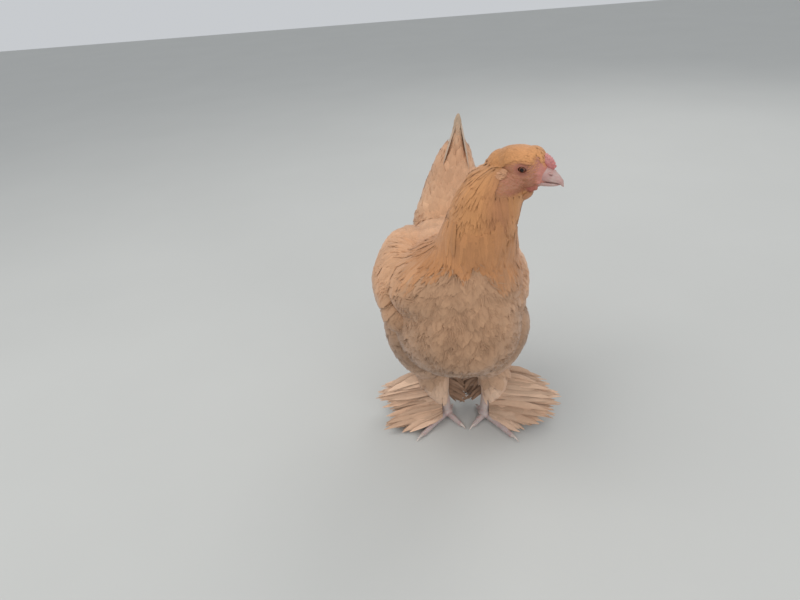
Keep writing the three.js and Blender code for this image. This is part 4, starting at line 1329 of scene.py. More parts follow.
@dataclass
class Body:
    """The one skin under the plumage, from the parts' own rows."""

    torso_coat: float = 8.0
    neck_coat: float = 6.4
    wing_coat: float = 5.4
    tail_coat: float = 6.2
    thigh_coat: float = 8.0
    plume_coat: float = 5.2
    head_coat: float = 0.8
    wing_middle: float = -12
    wing_lift: dict = field(default_factory=lambda: {"right": 7, "left": 0})
    wing_lean: dict = field(default_factory=lambda: {"right": 0.34, "left": 0.5})
    thigh_middle: float = -9
    tail_core_top: float = 342
    neck_fuller: tuple[float, float, float] = (345, 382, 4.4)  # from z, to z, by
    belly_lifts: tuple = ((-119, 0), (-107, 9), (-86, 16), (-57, 18), (-24, 14), (12, 6), (48, 1), (80, 0))
    # beside each shoulder and over each wing: distance out, y and z of the middle, and half sizes
    fillers: tuple = (((60, -42, 216), (17, 30, 20)), ((50, 8, 264), (24, 66, 19)))
    body_voxel: float = 2.1
    head_voxel: float = 0.62
    eye_x: float = 1.0
    eye_out: float = 11.6
    eye_radius: float = 5.2
    lid: float = 0.95  # thickness over the eye
    opening: tuple[float, float] = (4.7, 3.5)  # half width and half height between the lids
    lower_lid: float = 0.86  # share of the upper lid's arch
    slant: float = 0.05
    plug: tuple[float, float] = (2.2, 8.0)  # where the opening starts beyond the eye's middle, and its depth
    clearance: float = 0.12  # round the eye
    # brow, cheek, lore, jaw and ear patch: x, distance out, z, half sizes and segments
    swellings: tuple = (
        ((1, 13.6, 6.6), (8.5, 2.6, 2.0), 24),
        ((2, 13.0, -8.0), (9.0, 3.2, 4.2), 24),
        ((13, 9.8, -3.5), (6.0, 2.6, 3.0), 24),
        ((14, 8.6, -12.5), (6.5, 2.4, 2.2), 24),
        ((-8, 13.0, -13), (12.0, 5.0, 10.5), 32),
    )
    fold: tuple[float, float, float] = (2, 14.1, -6.2)  # the first of three under the eye
    fold_step: tuple[float, float, float] = (-1.5, -0.5, -1.7)
    forehead: tuple = ((7.5, 0, 8.2), (12.0, 10.4, 12.4))
    throat: tuple = ((-4.0, 0, -25.0), (15.0, 11.0, 13.0))
    nape: tuple = ((-26.0, 0, -9.0), (15.5, 13.6, 20.0))
    shaded_skin: float = 0.95  # tone of the skin against the coat
    face_edge: float = 2.4  # softness of the bare face's edge

    def forms(self) -> dict[Part, Form]:
        """The form of each part, at its skin."""
        forms = {
            Part.TORSO: LyingForm(Rows(self.lifted(TORSO_ROWS)), self.torso_coat, above=2.6, below=2.4),
            Part.NECK: UprightForm(Rows(self.thickened(NECK_ROWS)), self.neck_coat),
            Part.HEAD: HeadForm(Rows(HEAD_ROWS), self.head_coat),
            Part.TAIL: UprightForm(Rows(TAIL_ROWS), self.tail_coat),
        }
        for name, side in SIDES.items():
            middle = self.wing_middle + side * self.wing_lift[name]
            wing = on_side(WING_ROWS, side, middle)
            forms[sided("wing", name)] = LyingForm(wing, self.wing_coat, lean=side * self.wing_lean[name])
            thigh = on_side(THIGH_ROWS, side, self.thigh_middle)
            forms[sided("thigh", name)] = UprightForm(thigh, self.thigh_coat)
            forms[sided("plume", name)] = UprightForm(on_side(PLUME_ROWS, side), self.plume_coat)
        return forms

    def thickened(self, rows: Table) -> Table:
        """The neck's rows, fuller near the head, where its coat is thin."""
        low, high, most = self.neck_fuller
        gains = [most * min(max((row[0] - low) / (high - low), 0), 1) for row in rows]
        return tuple((*row[:3], row[3] + gain, row[4] + gain) for row, gain in zip(rows, gains))

    def lifted(self, rows: Table) -> Table:
        """The torso's rows with the belly lifted over the legs."""
        places, lifts = zip(*self.belly_lifts)
        return tuple((*row[:5], row[5] + float(np.interp(row[0], places, lifts))) for row in rows)

    def trunk(self) -> bpy.types.Mesh:
        """Everything but the head, melted together."""
        forms = self.forms()
        core = tuple(row for row in TAIL_ROWS if row[0] <= self.tail_core_top)
        shapes = [
            UprightForm(Rows(core), self.tail_coat).mesh(64, 30)
            if part is Part.TAIL
            else form.mesh(72, 60)
            for part, form in forms.items()
            if part is not Part.HEAD
        ]
        for name, side in SIDES.items():
            out = self.wing_middle + side * self.wing_lift[name]
            for (x, y, z), half in self.fillers:
                shapes.append(ellipsoid((out + side * x, y, z), half, 32))
        return melted(gathered(shapes), self.body_voxel, 24)

    def skull(self) -> bpy.types.Mesh:
        """The head's skin with brows, cheeks, lids and the openings for the eyes."""
        shapes = [self.forms()[Part.HEAD].mesh(96, 80)]
        for side in SIDES.values():
            eye = (self.eye_x, side * self.eye_out, 0)
            lid = self.eye_radius + self.lid
            shapes.append(ellipsoid(eye, (lid, lid, lid), 48))
            for (x, out, z), half, segments in self.swellings:
                shapes.append(ellipsoid((x, side * out, z), half, segments))
            for turn in range(3):
                x, out, z = (at + step * turn for at, step in zip(self.fold, self.fold_step))
                shapes.append(ellipsoid((x, side * out, z), (5.5 + turn, 2.0, 0.75)))
        for filler in (self.forehead, self.throat, self.nape):
            shapes.append(ellipsoid(*filler, 40))
        mesh = melted(gathered(shapes), self.head_voxel, 3)
        tools = [self.slit(side) for side in SIDES.values()]
        for side in SIDES.values():
            ball = self.eye_radius + self.clearance
            tools.append(ellipsoid((self.eye_x, side * self.eye_out, 0), (ball, ball, ball), 48))
        for tool in tools:
            mesh = joined(mesh, gathered([tool]), "DIFFERENCE")
        mesh.transform(head_axes())
        return mesh

    def slit(self, side: int) -> bmesh.types.BMesh:
        """A lens-shaped plug that opens the lids of one eye."""
        half, rise = self.opening
        radius = (half**2 + rise**2) / (2 * rise)
        limit = math.asin(half / radius)

        def place(around: Array, along: Array) -> Array:
            """Two arcs that meet at the corners of the eye, drawn outward."""
            upper = around < 0.5
            share = np.where(upper, around * 4 - 1, (around - 0.5) * 4 - 1)
            angle = share * limit * np.where(upper, 1, -1)
            height = (radius * np.cos(angle) - radius + rise) * np.where(upper, 1, -self.lower_lid)
            ahead = radius * np.sin(angle)
            y = side * (self.eye_out + self.plug[0] + self.plug[1] * along)
            return np.stack((self.eye_x + ahead, y, height + self.slant * ahead), axis=-1)

        return rolled(48, 2, place)

    def skin(self) -> bpy.types.Mesh:
        """Trunk and head as one closed skin."""
        return joined(self.trunk(), self.skull(), "UNION")

    def painted(self, mesh: bpy.types.Mesh, hide: Hide, marks: Markings) -> None:
        """Gives the skin the coat's colours, and the face its own.

        Args:
            mesh: the skin.
            hide: the same skin, with its parts.
            marks: the bird's colours.
        """
        points = corners_of(mesh)
        nearest = np.stack([form.away(points) for form in hide.forms.values()]).argmin(axis=0)
        colour = np.empty((len(points), 3))
        for i, part in enumerate(hide.forms):
            mine = nearest == i
            colour[mine] = marks.coat(points[mine], part) * self.shaded_skin
        local = on_head(points)
        tinted(mesh, blended(colour, marks.bare(local, self.eye_x), face_share(local, self.face_edge)))


def face_share(local: Array, soft: float = 0.8) -> Array:
    """How bare the skin is at points on the head's own axes, from 0 to 1, over a soft edge."""
    x, y, z = local.T
    brow = 8.4 - 0.006 * (x - 1) ** 2 - 4.5 * ramped(x, -2, -18)
    under_brow = ramped(z, brow + 0.8, brow + 0.8 - 2 * soft)
    behind = ramped(x, -23, -18)
    crown = ramped(x, 10, 14) * ramped(np.abs(y), 5, 7)
    within = ramped(z, -26, -22) * ramped(x, 60, 50)
    return np.maximum(under_brow * behind, crown * ramped(z, 16, 12)) * within


@dataclass
class Coat:
    """All the feathers that grow on the skin."""

    body: Body
    hide: Hide
    shop: Assembly
    cape_front: float = 286
    cape_side: float = 247
    cape_back: float = 262
    cape_end: float = 18  # how far the cape reaches over the back
    ear: tuple[float, float, float] = (-15.6, -7.0, 3.4)  # x, z and radius on the head's axes
    ear_tone: Tone = (212, 160, 122)
    notch: float = -1.12  # bearing where the breast shows highest
    point: float = -0.62  # bearing of the cape's last point

    def part(self, *parts: Part) -> Array:
        """The triangles that belong to some parts."""
        return np.isin(self.hide.parts, [part.value for part in parts])

    def border(self, points: Array) -> Array:
        """The height of the cape's ragged lower edge, round the neck.

        Args:
            points: places round it.

        Returns:
            The height of the edge at each one's bearing from the middle of the neck.
        """
        bearing = np.arctan2(points[:, 1] + 43, points[:, 0] + 10)
        share = np.sin(bearing)
        end = np.where(share < 0, self.cape_front, self.cape_back)
        level = self.cape_side + (end - self.cape_side) * np.abs(share) ** 1.5
        notch = np.exp(-(((bearing - self.notch) / 0.16) ** 2))
        point = np.exp(-(((bearing - self.point) / 0.2) ** 2))
        teeth = np.sin(bearing * 11 + 1.3) + 0.6 * np.sin(bearing * 19 + 0.4)
        behind = ramped(points[:, 1] - 4 * teeth, self.cape_end, self.cape_end + 6)
        return level + 3.4 * teeth + 15 * notch - 10 * point + 100 * behind

    def around_ear(self, wider: float = 0) -> Array:
        """The triangles over the ears, or a little wider."""
        x, _, z = on_head(self.hide.middles).T
        return np.hypot(x - self.ear[0], z - self.ear[1]) < self.ear[2] + wider

    def piece(
        self, name: str, vane: Vane, seed: int, tract: Tract, part: Part, where: Array, slot: str, node: str,
        tone: Tone | None = None,
    ) -> None:
        """Grows a tract into one piece.

        Args:
            name: the piece's name.
            vane: the cut of its feathers.
            seed: for its random draws.
            tract: how they grow.
            part: the part of the body, for their colour and their map.
            where: the triangles that they grow on.
            slot: the record's material slot.
            node: the node of the frame that it stands for.
            tone: one colour for all of them, in place of the bird's markings.
        """
        plumage = Plumage(name, vane, seed)
        self.hide.grow(plumage, tract, part, where, self.shop.marks)
        if tone is not None:
            plumage.dye(tone)
        look, barbs = {BARB: ("down", 8.0), SCALY: ("scale", 12.0)}.get(vane, ("feather", 34.0))
        self.shop.put(name, plumage.mesh(), FeatherFinish(f"{look}_{slot}", barbs), slot, [node])

    def torso(self) -> None:
        """Breast, flanks, back and saddle, with soft loose barbs over their feathers."""
        x, y, z = self.hide.middles.T
        upward = self.hide.normals[:, 2]
        trunk = self.part(Part.TORSO, Part.NECK) | (self.part(Part.TAIL) & (z < 288))
        covered = z > self.border(self.hide.middles) + 12
        back = trunk & (upward > 0.25) & (y > -10)
        breast = trunk & ~back & (z > 150) & (y < 50)
        belly = trunk & ~back & ~breast
        behind = back & (y > self.cape_end - 46)
        beside = trunk & (y < -58) & (y > -92) & (np.abs(x + 8) > 44) & (z > 188) & (z < 272)
        downy = trunk & ~covered & (upward < 0.6)
        down = flowing(0, 0.8, -1)
        soft = Tract(4.7, 29, 6.8, 8.0, down, rise=0.68, stray=5, swirl=9)
        loose = Tract(4.7, 29, 6.4, 8.2, flowing(0, 0.5, -1), rise=0.65, stray=9, swirl=14, uneven=0.18)
        flat = Tract(4.6, 30, 6.0, 7.6, flowing(0, 1, -0.25), rise=0.65, stray=5, swirl=6)
        over = Tract(3.6, 32, 6.4, 5.4, flowing(0, 1, -0.5), rise=0.75, stray=6, swirl=8, uneven=0.2)
        wisps = Tract(2.4, 15, 0.5, 9.0, down, rise=0.86, stray=22, swirl=12, uneven=0.25, ruffle=0.07)
        for name, vane, seed, tract, where in (
            ("breast_feathers", CONTOUR, 21, soft, breast & ~covered),
            ("belly_feathers", CONTOUR, 22, loose, belly),
            ("back_feathers", CONTOUR, 23, flat, behind),
            ("shoulder_feathers", CONTOUR, 26, over, beside),
            ("breast_down", BARB, 24, wisps, downy & (y < 0)),
            ("belly_down", BARB, 25, wisps, downy & (y >= 0)),
        ):
            self.piece(name, vane, seed, tract, Part.TORSO, where, "body_plumage", "torso")

    def neck(self) -> None:
        """Hackle down the neck, and the cape that it ends in."""
        x, y, z = self.hide.middles.T
        down = flowing(0, 0.12, -1)
        high = Tract(2.35, 28, 2.4, 6.2, down, rise=0.6, stray=4, swirl=6, clump=18, ease=self.thinner_above)
        low = Tract(3.3, 42, 3.9, 8.8, down, rise=0.7, stray=5, swirl=7, clump=22, border=self.border,
                    ease=self.flatter_behind)
        ragged = z + 11 * Drift(33, 13).at(self.hide.middles)
        covered = face_share(on_head(self.hide.middles)) < 0.4
        upper = self.part(Part.NECK) & (ragged > 300) & covered & ~self.around_ear(1.5)
        near = self.part(Part.NECK, Part.TORSO, Part.WING_RIGHT, Part.WING_LEFT)
        jaw = (z > 338) & (x > 38) & (y < -50)
        lower = near & (ragged < 346) & ~jaw & (y < 45) & (z > self.border(self.hide.middles) + 8)
        self.piece("hackle", HACKLE, 31, high, Part.NECK, upper, "hackle", "neck")
        self.piece("cape", HACKLE, 32, low, Part.NECK, lower, "hackle", "neck")

    def thinner_above(self, points: Array) -> Array:
        """The share of the hackle's depth, thinner close to the face."""
        local = on_head(points)
        far = np.linalg.norm((local - (-4, 0, -8)) * (1, 0.6, 1), axis=1)
        return 0.2 + 0.8 * ramped(far, 24, 50)

    def flatter_behind(self, points: Array) -> Array:
        """The share of the cape's depth, thinner where it ends on the back."""
        return 1 - 0.3 * ramped(points[:, 1], -20, 20)

    def head(self) -> None:
        """Short close feathers from the brow back, tufts on the ears and bristles on the face."""
        local = on_head(self.hide.middles)
        x, y, z = local.T
        bare = face_share(local)
        feathered = self.part(Part.HEAD) & ~self.around_ear(0.5)
        crown = feathered & (bare < 0.35) & (x > -24) & (z > -6)
        nape = feathered & (bare < 0.5) & ((x < -17) | (z < -4))
        face = (bare > 0.6) & (x < 17) & (np.hypot(x - self.body.eye_x, z) > 7.2)
        ear = self.around_ear() & (np.abs(y) > 8)
        fine = head_way(-1, 0, -0.5)
        tuft = Tract(0.75, 4.6, 0.5, 1.9, fine, sunk=-0.3, rise=0.6, stray=10, swirl=8, clump=5)
        close = Tract(1.2, 4.6, 1.1, 0.9, head_way(-1, 0, 0.12), sunk=-0.5, stray=5, swirl=5, clump=9)
        longer = Tract(1.5, 10, 1.5, 1.5, head_way(-1, 0, -1.2), sunk=-0.6, stray=5, swirl=6, clump=12)
        bristle = Tract(1.7, 3.0, 0.3, 0.7, head_way(-1, 0, -0.25), sunk=-0.3, stray=16, swirl=10, clump=6)
        for name, vane, seed, tract, where, tone in (
            ("ear_tufts", BARB, 44, tuft, ear, self.ear_tone),
            ("crown_feathers", SCALY, 41, close, crown, None),
            ("nape_feathers", HACKLE, 42, longer, nape, None),
            ("face_bristles", BARB, 43, bristle, face, None),
        ):
            self.piece(name, vane, seed, tract, Part.HEAD, where, "hackle", "head", tone)

    def limbs(self) -> None:
        """Wing coverts, thighs and feathered shanks on both sides."""
        y, z = self.hide.middles.T[1:]
        under_cape = (z > self.border(self.hide.middles) + 20) & (y < -24)
        folded = ~under_cape & (y < 84)
        down = flowing(0, 0.1, -1)
        small = Tract(4.1, 20, 4.8, 6.0, flowing(0, 1, -0.16), stray=6, swirl=7)
        fluff = Tract(4.2, 24, 5.0, 8.2, down, stray=14, swirl=16, uneven=0.18)
        wisps = Tract(3.1, 12, 0.62, 9.0, down, rise=0.75, stray=24, swirl=18, uneven=0.25)
        for name, side in SIDES.items():
            shanks = Tract(3.6, 24, 3.4, 5.4, flowing(side * 0.3, 0.1, -1), stray=10, swirl=10, uneven=0.2)
            for title, vane, seed, tract, kind, limb, slot in (
                ("wing_coverts", CONTOUR, 51, small, "wing", "wing", "wing_plumage"),
                ("thigh_feathers", CONTOUR, 61, fluff, "thigh", "thigh", "leg_plumage"),
                ("shank_feathers", HACKLE, 71, shanks, "plume", "shank", "leg_plumage"),
                ("thigh_down", BARB, 81, wisps, "thigh", "thigh", "leg_plumage"),
            ):
                part = sided(kind, name)
                where = self.part(part) & (folded | (kind != "wing"))
                self.piece(f"{title}_{name}", vane, seed + side, tract, part, where, slot, f"{limb}_{name}")

    def grow(self) -> None:
        """Grows every tract."""
        self.torso()
        self.neck()
        self.head()
        self.limbs()


def head_way(*way: float) -> Place:
    """A lie that runs one way on the head's own axes."""
    return flowing(*(head_axes().to_3x3() @ Vector(way)))


@dataclass
class Wing:
    """The flight feathers of one folded wing, tier under tier."""

    shop: Assembly
    name: str
    form: Form
    part: Part
    # roots' and tips' y, first and last degrees up the side, number, half width, height at the tip
    tiers: tuple = (
        (-8, 44, -62, 56, 11, 7.0, 5.8),
        (18, 80, -62, 38, 10, 7.2, 4.8),
        (42, 95, -62, 22, 9, 6.6, 4.2),
    )
    sweep: float = 5  # degrees that a feather falls from root to tip
    shorter: float = 4  # millimetres that the outer ones of a tier end earlier
    overlap: float = 0.35  # share of the height at the root, and step from one to the next

    def dress(self) -> None:
        """Lays the tiers on the wing's form, the hindmost lowest."""
        side = SIDES[self.name]
        plumage = Plumage(f"flight_feathers_{self.name}", FLIGHT, 91 + side)
        draw = np.random.default_rng(plumage.seed)
        stations = np.array(FLIGHT.stations)
        for start, end, low, high, count, half, height in self.tiers:
            degrees = np.linspace(low, high, count) + draw.normal(size=count)
            angles = np.radians(np.where(side > 0, degrees, 180 - degrees))
            tips = end - self.shorter * np.abs(np.linspace(-1, 1, count)) + 2 * draw.normal(size=count)
            ys = start + (tips[:, None] - start) * stations[None, :]
            angles = (angles[:, None] - np.radians(side * self.sweep * stations)[None, :]).ravel()
            path = self.form.point(ys.ravel(), angles).reshape(count, -1, 3)
            out = self.form.facing(ys.ravel(), angles).reshape(count, -1, 3)
            path[:, :, 1] = ys
            rise = np.where(stations == 0, -1.0, height * (self.overlap + (1 - self.overlap) * stations))
            layer = self.overlap * np.arange(count)[::-1]
            path = path + out * (rise[None, :] + layer[:, None] * stations[None, :] * 0.5)[..., None]
            colour = self.shop.marks.coat(path[:, -1], self.part) * (1 + 0.05 * draw.normal(size=(count, 1)))
            roots = self.form.unwrapped(path[:, 0])
            plumage.add(path, out, np.full(count, half), np.clip(colour, 0, 1), roots)
        finish = FeatherFinish("feather_flight", 46.0)
        self.shop.put(plumage.name, plumage.mesh(), finish, "wing_plumage", [f"wing_{self.name}"])


@dataclass
class Tail:
    """The main feathers of the tail, a tent of leaned planes, with coverts up both sides."""

    shop: Assembly
    body: Body
    root: tuple[float, float, float] = (-10, 100, 278)
    ridge_x: float = 5
    ridge_z: float = 398
    pairs: int = 9
    rises: tuple[float, float] = (71.5, 32)
    crown_rise: float = 67
    reaches: tuple[float, float] = (129, 98)
    start: float = 20
    inward: float = 1.0
    lean: float = 16
    ridge: float = 1.6
    curl: float = 4  # degrees from root to tip
    half_width: float = 10.5
    crown_reach: float = 139
    crown_count: int = 46
    cone: tuple[float, float] = (262, 336)  # lowest and highest root of the coverts
    sunk: float = 10  # how deep in the torso a root is hidden

    def fan(self) -> None:
        """Lays the pairs of main feathers and the pair on the ridge."""
        plumage = Plumage("tail_feathers", FLIGHT, 101)
        draw = np.random.default_rng(101)
        stations = np.array(FLIGHT.stations)
        root = np.array(self.root)
        for side in SIDES.values():
            share = np.linspace(0, 1, self.pairs)
            rise = np.radians(self.rises[0] + (self.rises[1] - self.rises[0]) * share)
            reach = self.reaches[0] + (self.reaches[1] - self.reaches[0]) * share
            reach = reach * (1 + 0.015 * draw.normal(size=self.pairs))
            far = self.start + (reach[:, None] - self.start) * stations[None, :]
            curl = np.radians(self.curl) * stations[None, :] ** 2
            y = root[1] + far * np.cos(rise[:, None] - curl)
            z = root[2] + far * np.sin(rise[:, None] - curl)
            middle = root[0] + (self.ridge_x - root[0]) * (z - root[2]) / (self.ridge_z - root[2])
            lean = (self.ridge_z - z) * math.tan(math.radians(self.lean))
            x = middle + side * (self.ridge - self.inward * np.arange(self.pairs)[:, None] + lean)
            path = np.stack((x, y, z), axis=-1)
            tilt = math.radians(self.lean)
            out = np.tile(np.array((side * math.cos(tilt), 0, math.sin(tilt))), (*x.shape, 1))
            colour = self.shop.marks.coat(path[:, -1], Part.TAIL)
            colour = colour * (1 + 0.04 * draw.normal(size=(self.pairs, 1)))
            spots = np.stack((0.5 + side * 0.2 + 0.02 * share, 0.1 + 0.8 * share), axis=-1)
            plumage.add(path, out, np.full(self.pairs, self.half_width), colour, spots)
        finish = FeatherFinish("feather_tail", 60.0)
        self.shop.put(plumage.name, plumage.mesh(), finish, "tail_plumage", ["tail"])

    def crown(self) -> None:
        """Lays the narrow feathers that face forward on the ridge of the tail."""
        plumage = Plumage("tail_crown_feathers", FLIGHT, 102)
        draw = np.random.default_rng(102)
        stations = np.array(FLIGHT.stations)
        root = np.array(self.root)
        count = self.crown_count
        side = draw.uniform(-1, 1, count)
        level = np.sort(draw.uniform(0, 1, count))
        reach = self.crown_reach * (0.62 + 0.38 * level) * (1 - 0.06 * np.abs(side))
        begin = 30 + 22 * level
        far = begin[:, None] + (reach - begin)[:, None] * stations[None, :]
        angle = math.radians(self.crown_rise)
        over = 14 - 8 * level + 0.5 * draw.normal(size=count)
        spread = side * (11 - 10.2 * level)
        x = root[0] + (self.ridge_x - root[0]) * far / self.crown_reach
        x = x + spread[:, None] * (1.1 - 0.35 * stations)
        y = root[1] + far * math.cos(angle) - over[:, None] * math.sin(angle)
        z = root[2] + far * math.sin(angle) + over[:, None] * math.cos(angle)
        path = np.stack((x, y, z), axis=-1)
        out = np.tile((0, -math.sin(angle), math.cos(angle)), (count, 1))
        out[:, 0] = 0.75 * side
        out = np.repeat(unit(out)[:, None, :], len(stations), axis=1)
        colour = self.shop.marks.coat(path[:, -1], Part.TAIL) * (1 + 0.05 * draw.normal(size=(count, 1)))
        spots = np.stack((0.5 + 0.3 * side, 0.1 + 0.8 * level), axis=-1)
        plumage.add(path, out, 9.4 - 3.6 * level, colour, spots)
        finish = FeatherFinish("feather_tail_plumage", 40.0)
        self.shop.put("tail_crown_feathers", plumage.mesh(), finish, "tail_plumage", ["tail"])

    def coverts(self) -> None:
        """Grows feathers up the saddle cone, on its full form."""
        form = self.body.forms()[Part.TAIL]
        guide = Hide(gathered([form.mesh(64, 60)]), {Part.TAIL: form})
        torso = LyingForm(Rows(TORSO_ROWS), self.body.torso_coat + 3, above=2.6, below=2.4)
        middles = guide.middles
        middle, half, widest, top, _ = torso.rows.at(middles[:, 1]).T
        across = np.abs((middles[:, 0] - middle) / np.maximum(half - self.sunk, 1))
        upward = np.abs((middles[:, 2] - widest) / np.maximum(top - widest - self.sunk, 1))
        inside = across**torso.above + upward**torso.above < 1
        places = ~inside & (middles[:, 2] > self.cone[0]) & (middles[:, 2] < self.cone[1])
        up = Tract(4.0, 36, 5.2, 6.4, flowing(0, 0.3, 1), stray=6, swirl=8, uneven=0.14)
        plumage = Plumage("tail_coverts", CONTOUR, 103)
        guide.grow(plumage, up, Part.TAIL, places, self.shop.marks)
        finish = FeatherFinish("feather_tail_plumage", 40.0)
        self.shop.put("tail_coverts", plumage.mesh(), finish, "tail_plumage", ["tail"])

    def dress(self) -> None:
        """Makes the whole tail."""
        self.fan()
        self.crown()
        self.coverts()


@dataclass
class Face:
    """Eyes, bill, comb, wattles and lobes, on the head's own axes."""

    shop: Assembly
    body: Body
    nostril: tuple[float, float, float] = (28.5, 5.6, -3.8)
    comb_middle: tuple[float, float, float] = (21.8, 0, 8.0)
    comb_half: tuple[float, float, float] = (10.5, 3.8, 4.4)
    comb_slope: float = 40  # degrees down to the bill
    comb_rows: tuple = ((0.0, 7, 2.0, 1.0), (2.9, 6, 1.5, 0.8), (-2.9, 6, 1.5, 0.8))
    wattle_folds: tuple = (
        (6, -21.5, (5.5, 2.0, 4.2)),
        (10, -21, (4.4, 2.2, 4.6)),
        (14, -19.5, (3.4, 2.0, 3.4)),
    )

    def eyes(self) -> None:
        """A ball in each socket, with a slight cornea and its own map."""
        for name, side in SIDES.items():
            bm = bmesh.new()
            bmesh.ops.create_uvsphere(bm, u_segments=48, v_segments=32, radius=self.body.eye_radius)
            bmesh.ops.rotate(bm, matrix=Matrix.Rotation(math.radians(-90 * side), 3, "X"), verts=bm.verts)
            layer = bm.loops.layers.uv.new("Gaze")
            radius = self.body.eye_radius
            for face in bm.faces:
                for loop in face.loops:
                    loop[layer].uv = (loop.vert.co.x / radius / 2 + 0.5, loop.vert.co.z / radius / 2 + 0.5)
            for vert in bm.verts:
                far = math.hypot(vert.co.x, vert.co.z) / radius
                if vert.co.y * side > 0 and far < 0.8:
                    vert.co.y += side * 0.45 * (1 - (far / 0.8) ** 2)
            middle = Vector((self.body.eye_x, side * self.body.eye_out, 0))
            bmesh.ops.translate(bm, vec=middle, verts=bm.verts)
            mesh = gathered([bm], head_axes())
            mesh.shade_smooth()
            self.shop.put(f"eyeball_{name}", mesh, EyeFinish(), "eye", [f"eye_{name}"])

    def bill(self) -> None:
        """A hooked upper bill with its nostrils, over a shorter lower one."""
        upper = gathered([HeadForm(Rows(UPPER_BILL_ROWS), above=1.75, below=3.4).mesh(56, 60)])
        x, out, z = self.nostril
        for side in SIDES.values():
            flap = ellipsoid((x - 0.8, side * (out + 0.1), z + 1.5), (3.0, 1.1, 1.1), 20)
            upper = joined(upper, gathered([flap]), "UNION")
        for side in SIDES.values():
            hole = ellipsoid((x, side * (out + 0.6), z), (1.9, 1.6, 0.75), 20)
            upper = joined(upper, gathered([hole]), "DIFFERENCE")
        upper.transform(head_axes())
        smoothed(upper, 42)
        horn = HornFinish("bill_horn", (192, 167, 160), (182, 140, 134))
        self.shop.put("upper_bill", upper, horn, "bill", ["bill_upper"])
        lower = gathered([HeadForm(Rows(LOWER_BILL_ROWS), above=3.2, below=2).mesh(48, 40)], head_axes())
        smoothed(lower, 42)
        self.shop.put("lower_bill", lower, horn, "bill", ["bill_lower"])

    def comb(self) -> None:
        """Three low rows of bulbs on a ridge."""
        shapes = [ellipsoid((0, 0, 0), self.comb_half, 40)]
        for out, count, radius, share in self.comb_rows:
            for i in range(count):
                along = -0.84 + 1.68 * i / (count - 1)
                height = share * self.comb_half[2] * math.sqrt(1 - along**2)
                size = radius * (1 - 0.25 * abs(along))
                middle = (along * self.comb_half[0], out, height)
                shapes.append(ellipsoid(middle, (size * 0.9, size * 0.8, size), 20))
        slope = Matrix.Rotation(math.radians(self.comb_slope), 4, "Y")
        place = head_axes() @ Matrix.Translation(self.comb_middle) @ slope
        mesh = melted(gathered(shapes, place), 0.42, 6)
        self.flushed(mesh, (216, 156, 152), (200, 126, 124), "pea_comb", "comb", "comb")

    def flushed(
        self, mesh: bpy.types.Mesh, pale: Tone, deep: Tone, name: str, slot: str, node: str
    ) -> None:
        """Colours fleshy skin from pale above to deep below and puts it in place.

        Args:
            mesh: the skin.
            pale: its colour at the top.
            deep: its colour at the foot.
            name: the piece's name.
            slot: the record's material slot.
            node: the node of the frame that it stands for.
        """
        heights = corners_of(mesh)[:, 2]
        low, high = heights.min(), heights.max()
        tinted(mesh, blended(linear(*deep), linear(*pale), (heights - low) / (high - low)))
        mesh.shade_smooth()
        self.shop.put(name, mesh, SkinFinish("skin_flushed", red=(178, 84, 82), gloss=0.42), slot, [node])

    def folds(self) -> None:
        """Small wattles under the bill and a lobe below each ear."""
        for name, side in SIDES.items():
            shapes = [ellipsoid((x, side * 6, z), half) for x, z, half in self.wattle_folds]
            mesh = melted(gathered(shapes, head_axes()), 0.5, 3)
            tones = (186, 122, 104), (166, 100, 84)
            self.flushed(mesh, *tones, f"wattle_skin_{name}", "comb", f"wattle_{name}")
            shapes = [
                ellipsoid((-16, side * 15.6, -14.5), (4.0, 2.0, 4.2)),
                ellipsoid((-13.5, side * 15.8, -16), (2.4, 1.8, 2.6)),
            ]
            mesh = melted(gathered(shapes, head_axes()), 0.5, 3)
            tones = (186, 128, 104), (180, 118, 96)
            self.flushed(mesh, *tones, f"lobe_skin_{name}", "face", f"earlobe_{name}")

    def dress(self) -> None:
        """Makes everything on the face."""
        self.eyes()
        self.bill()
        self.comb()
        self.folds()


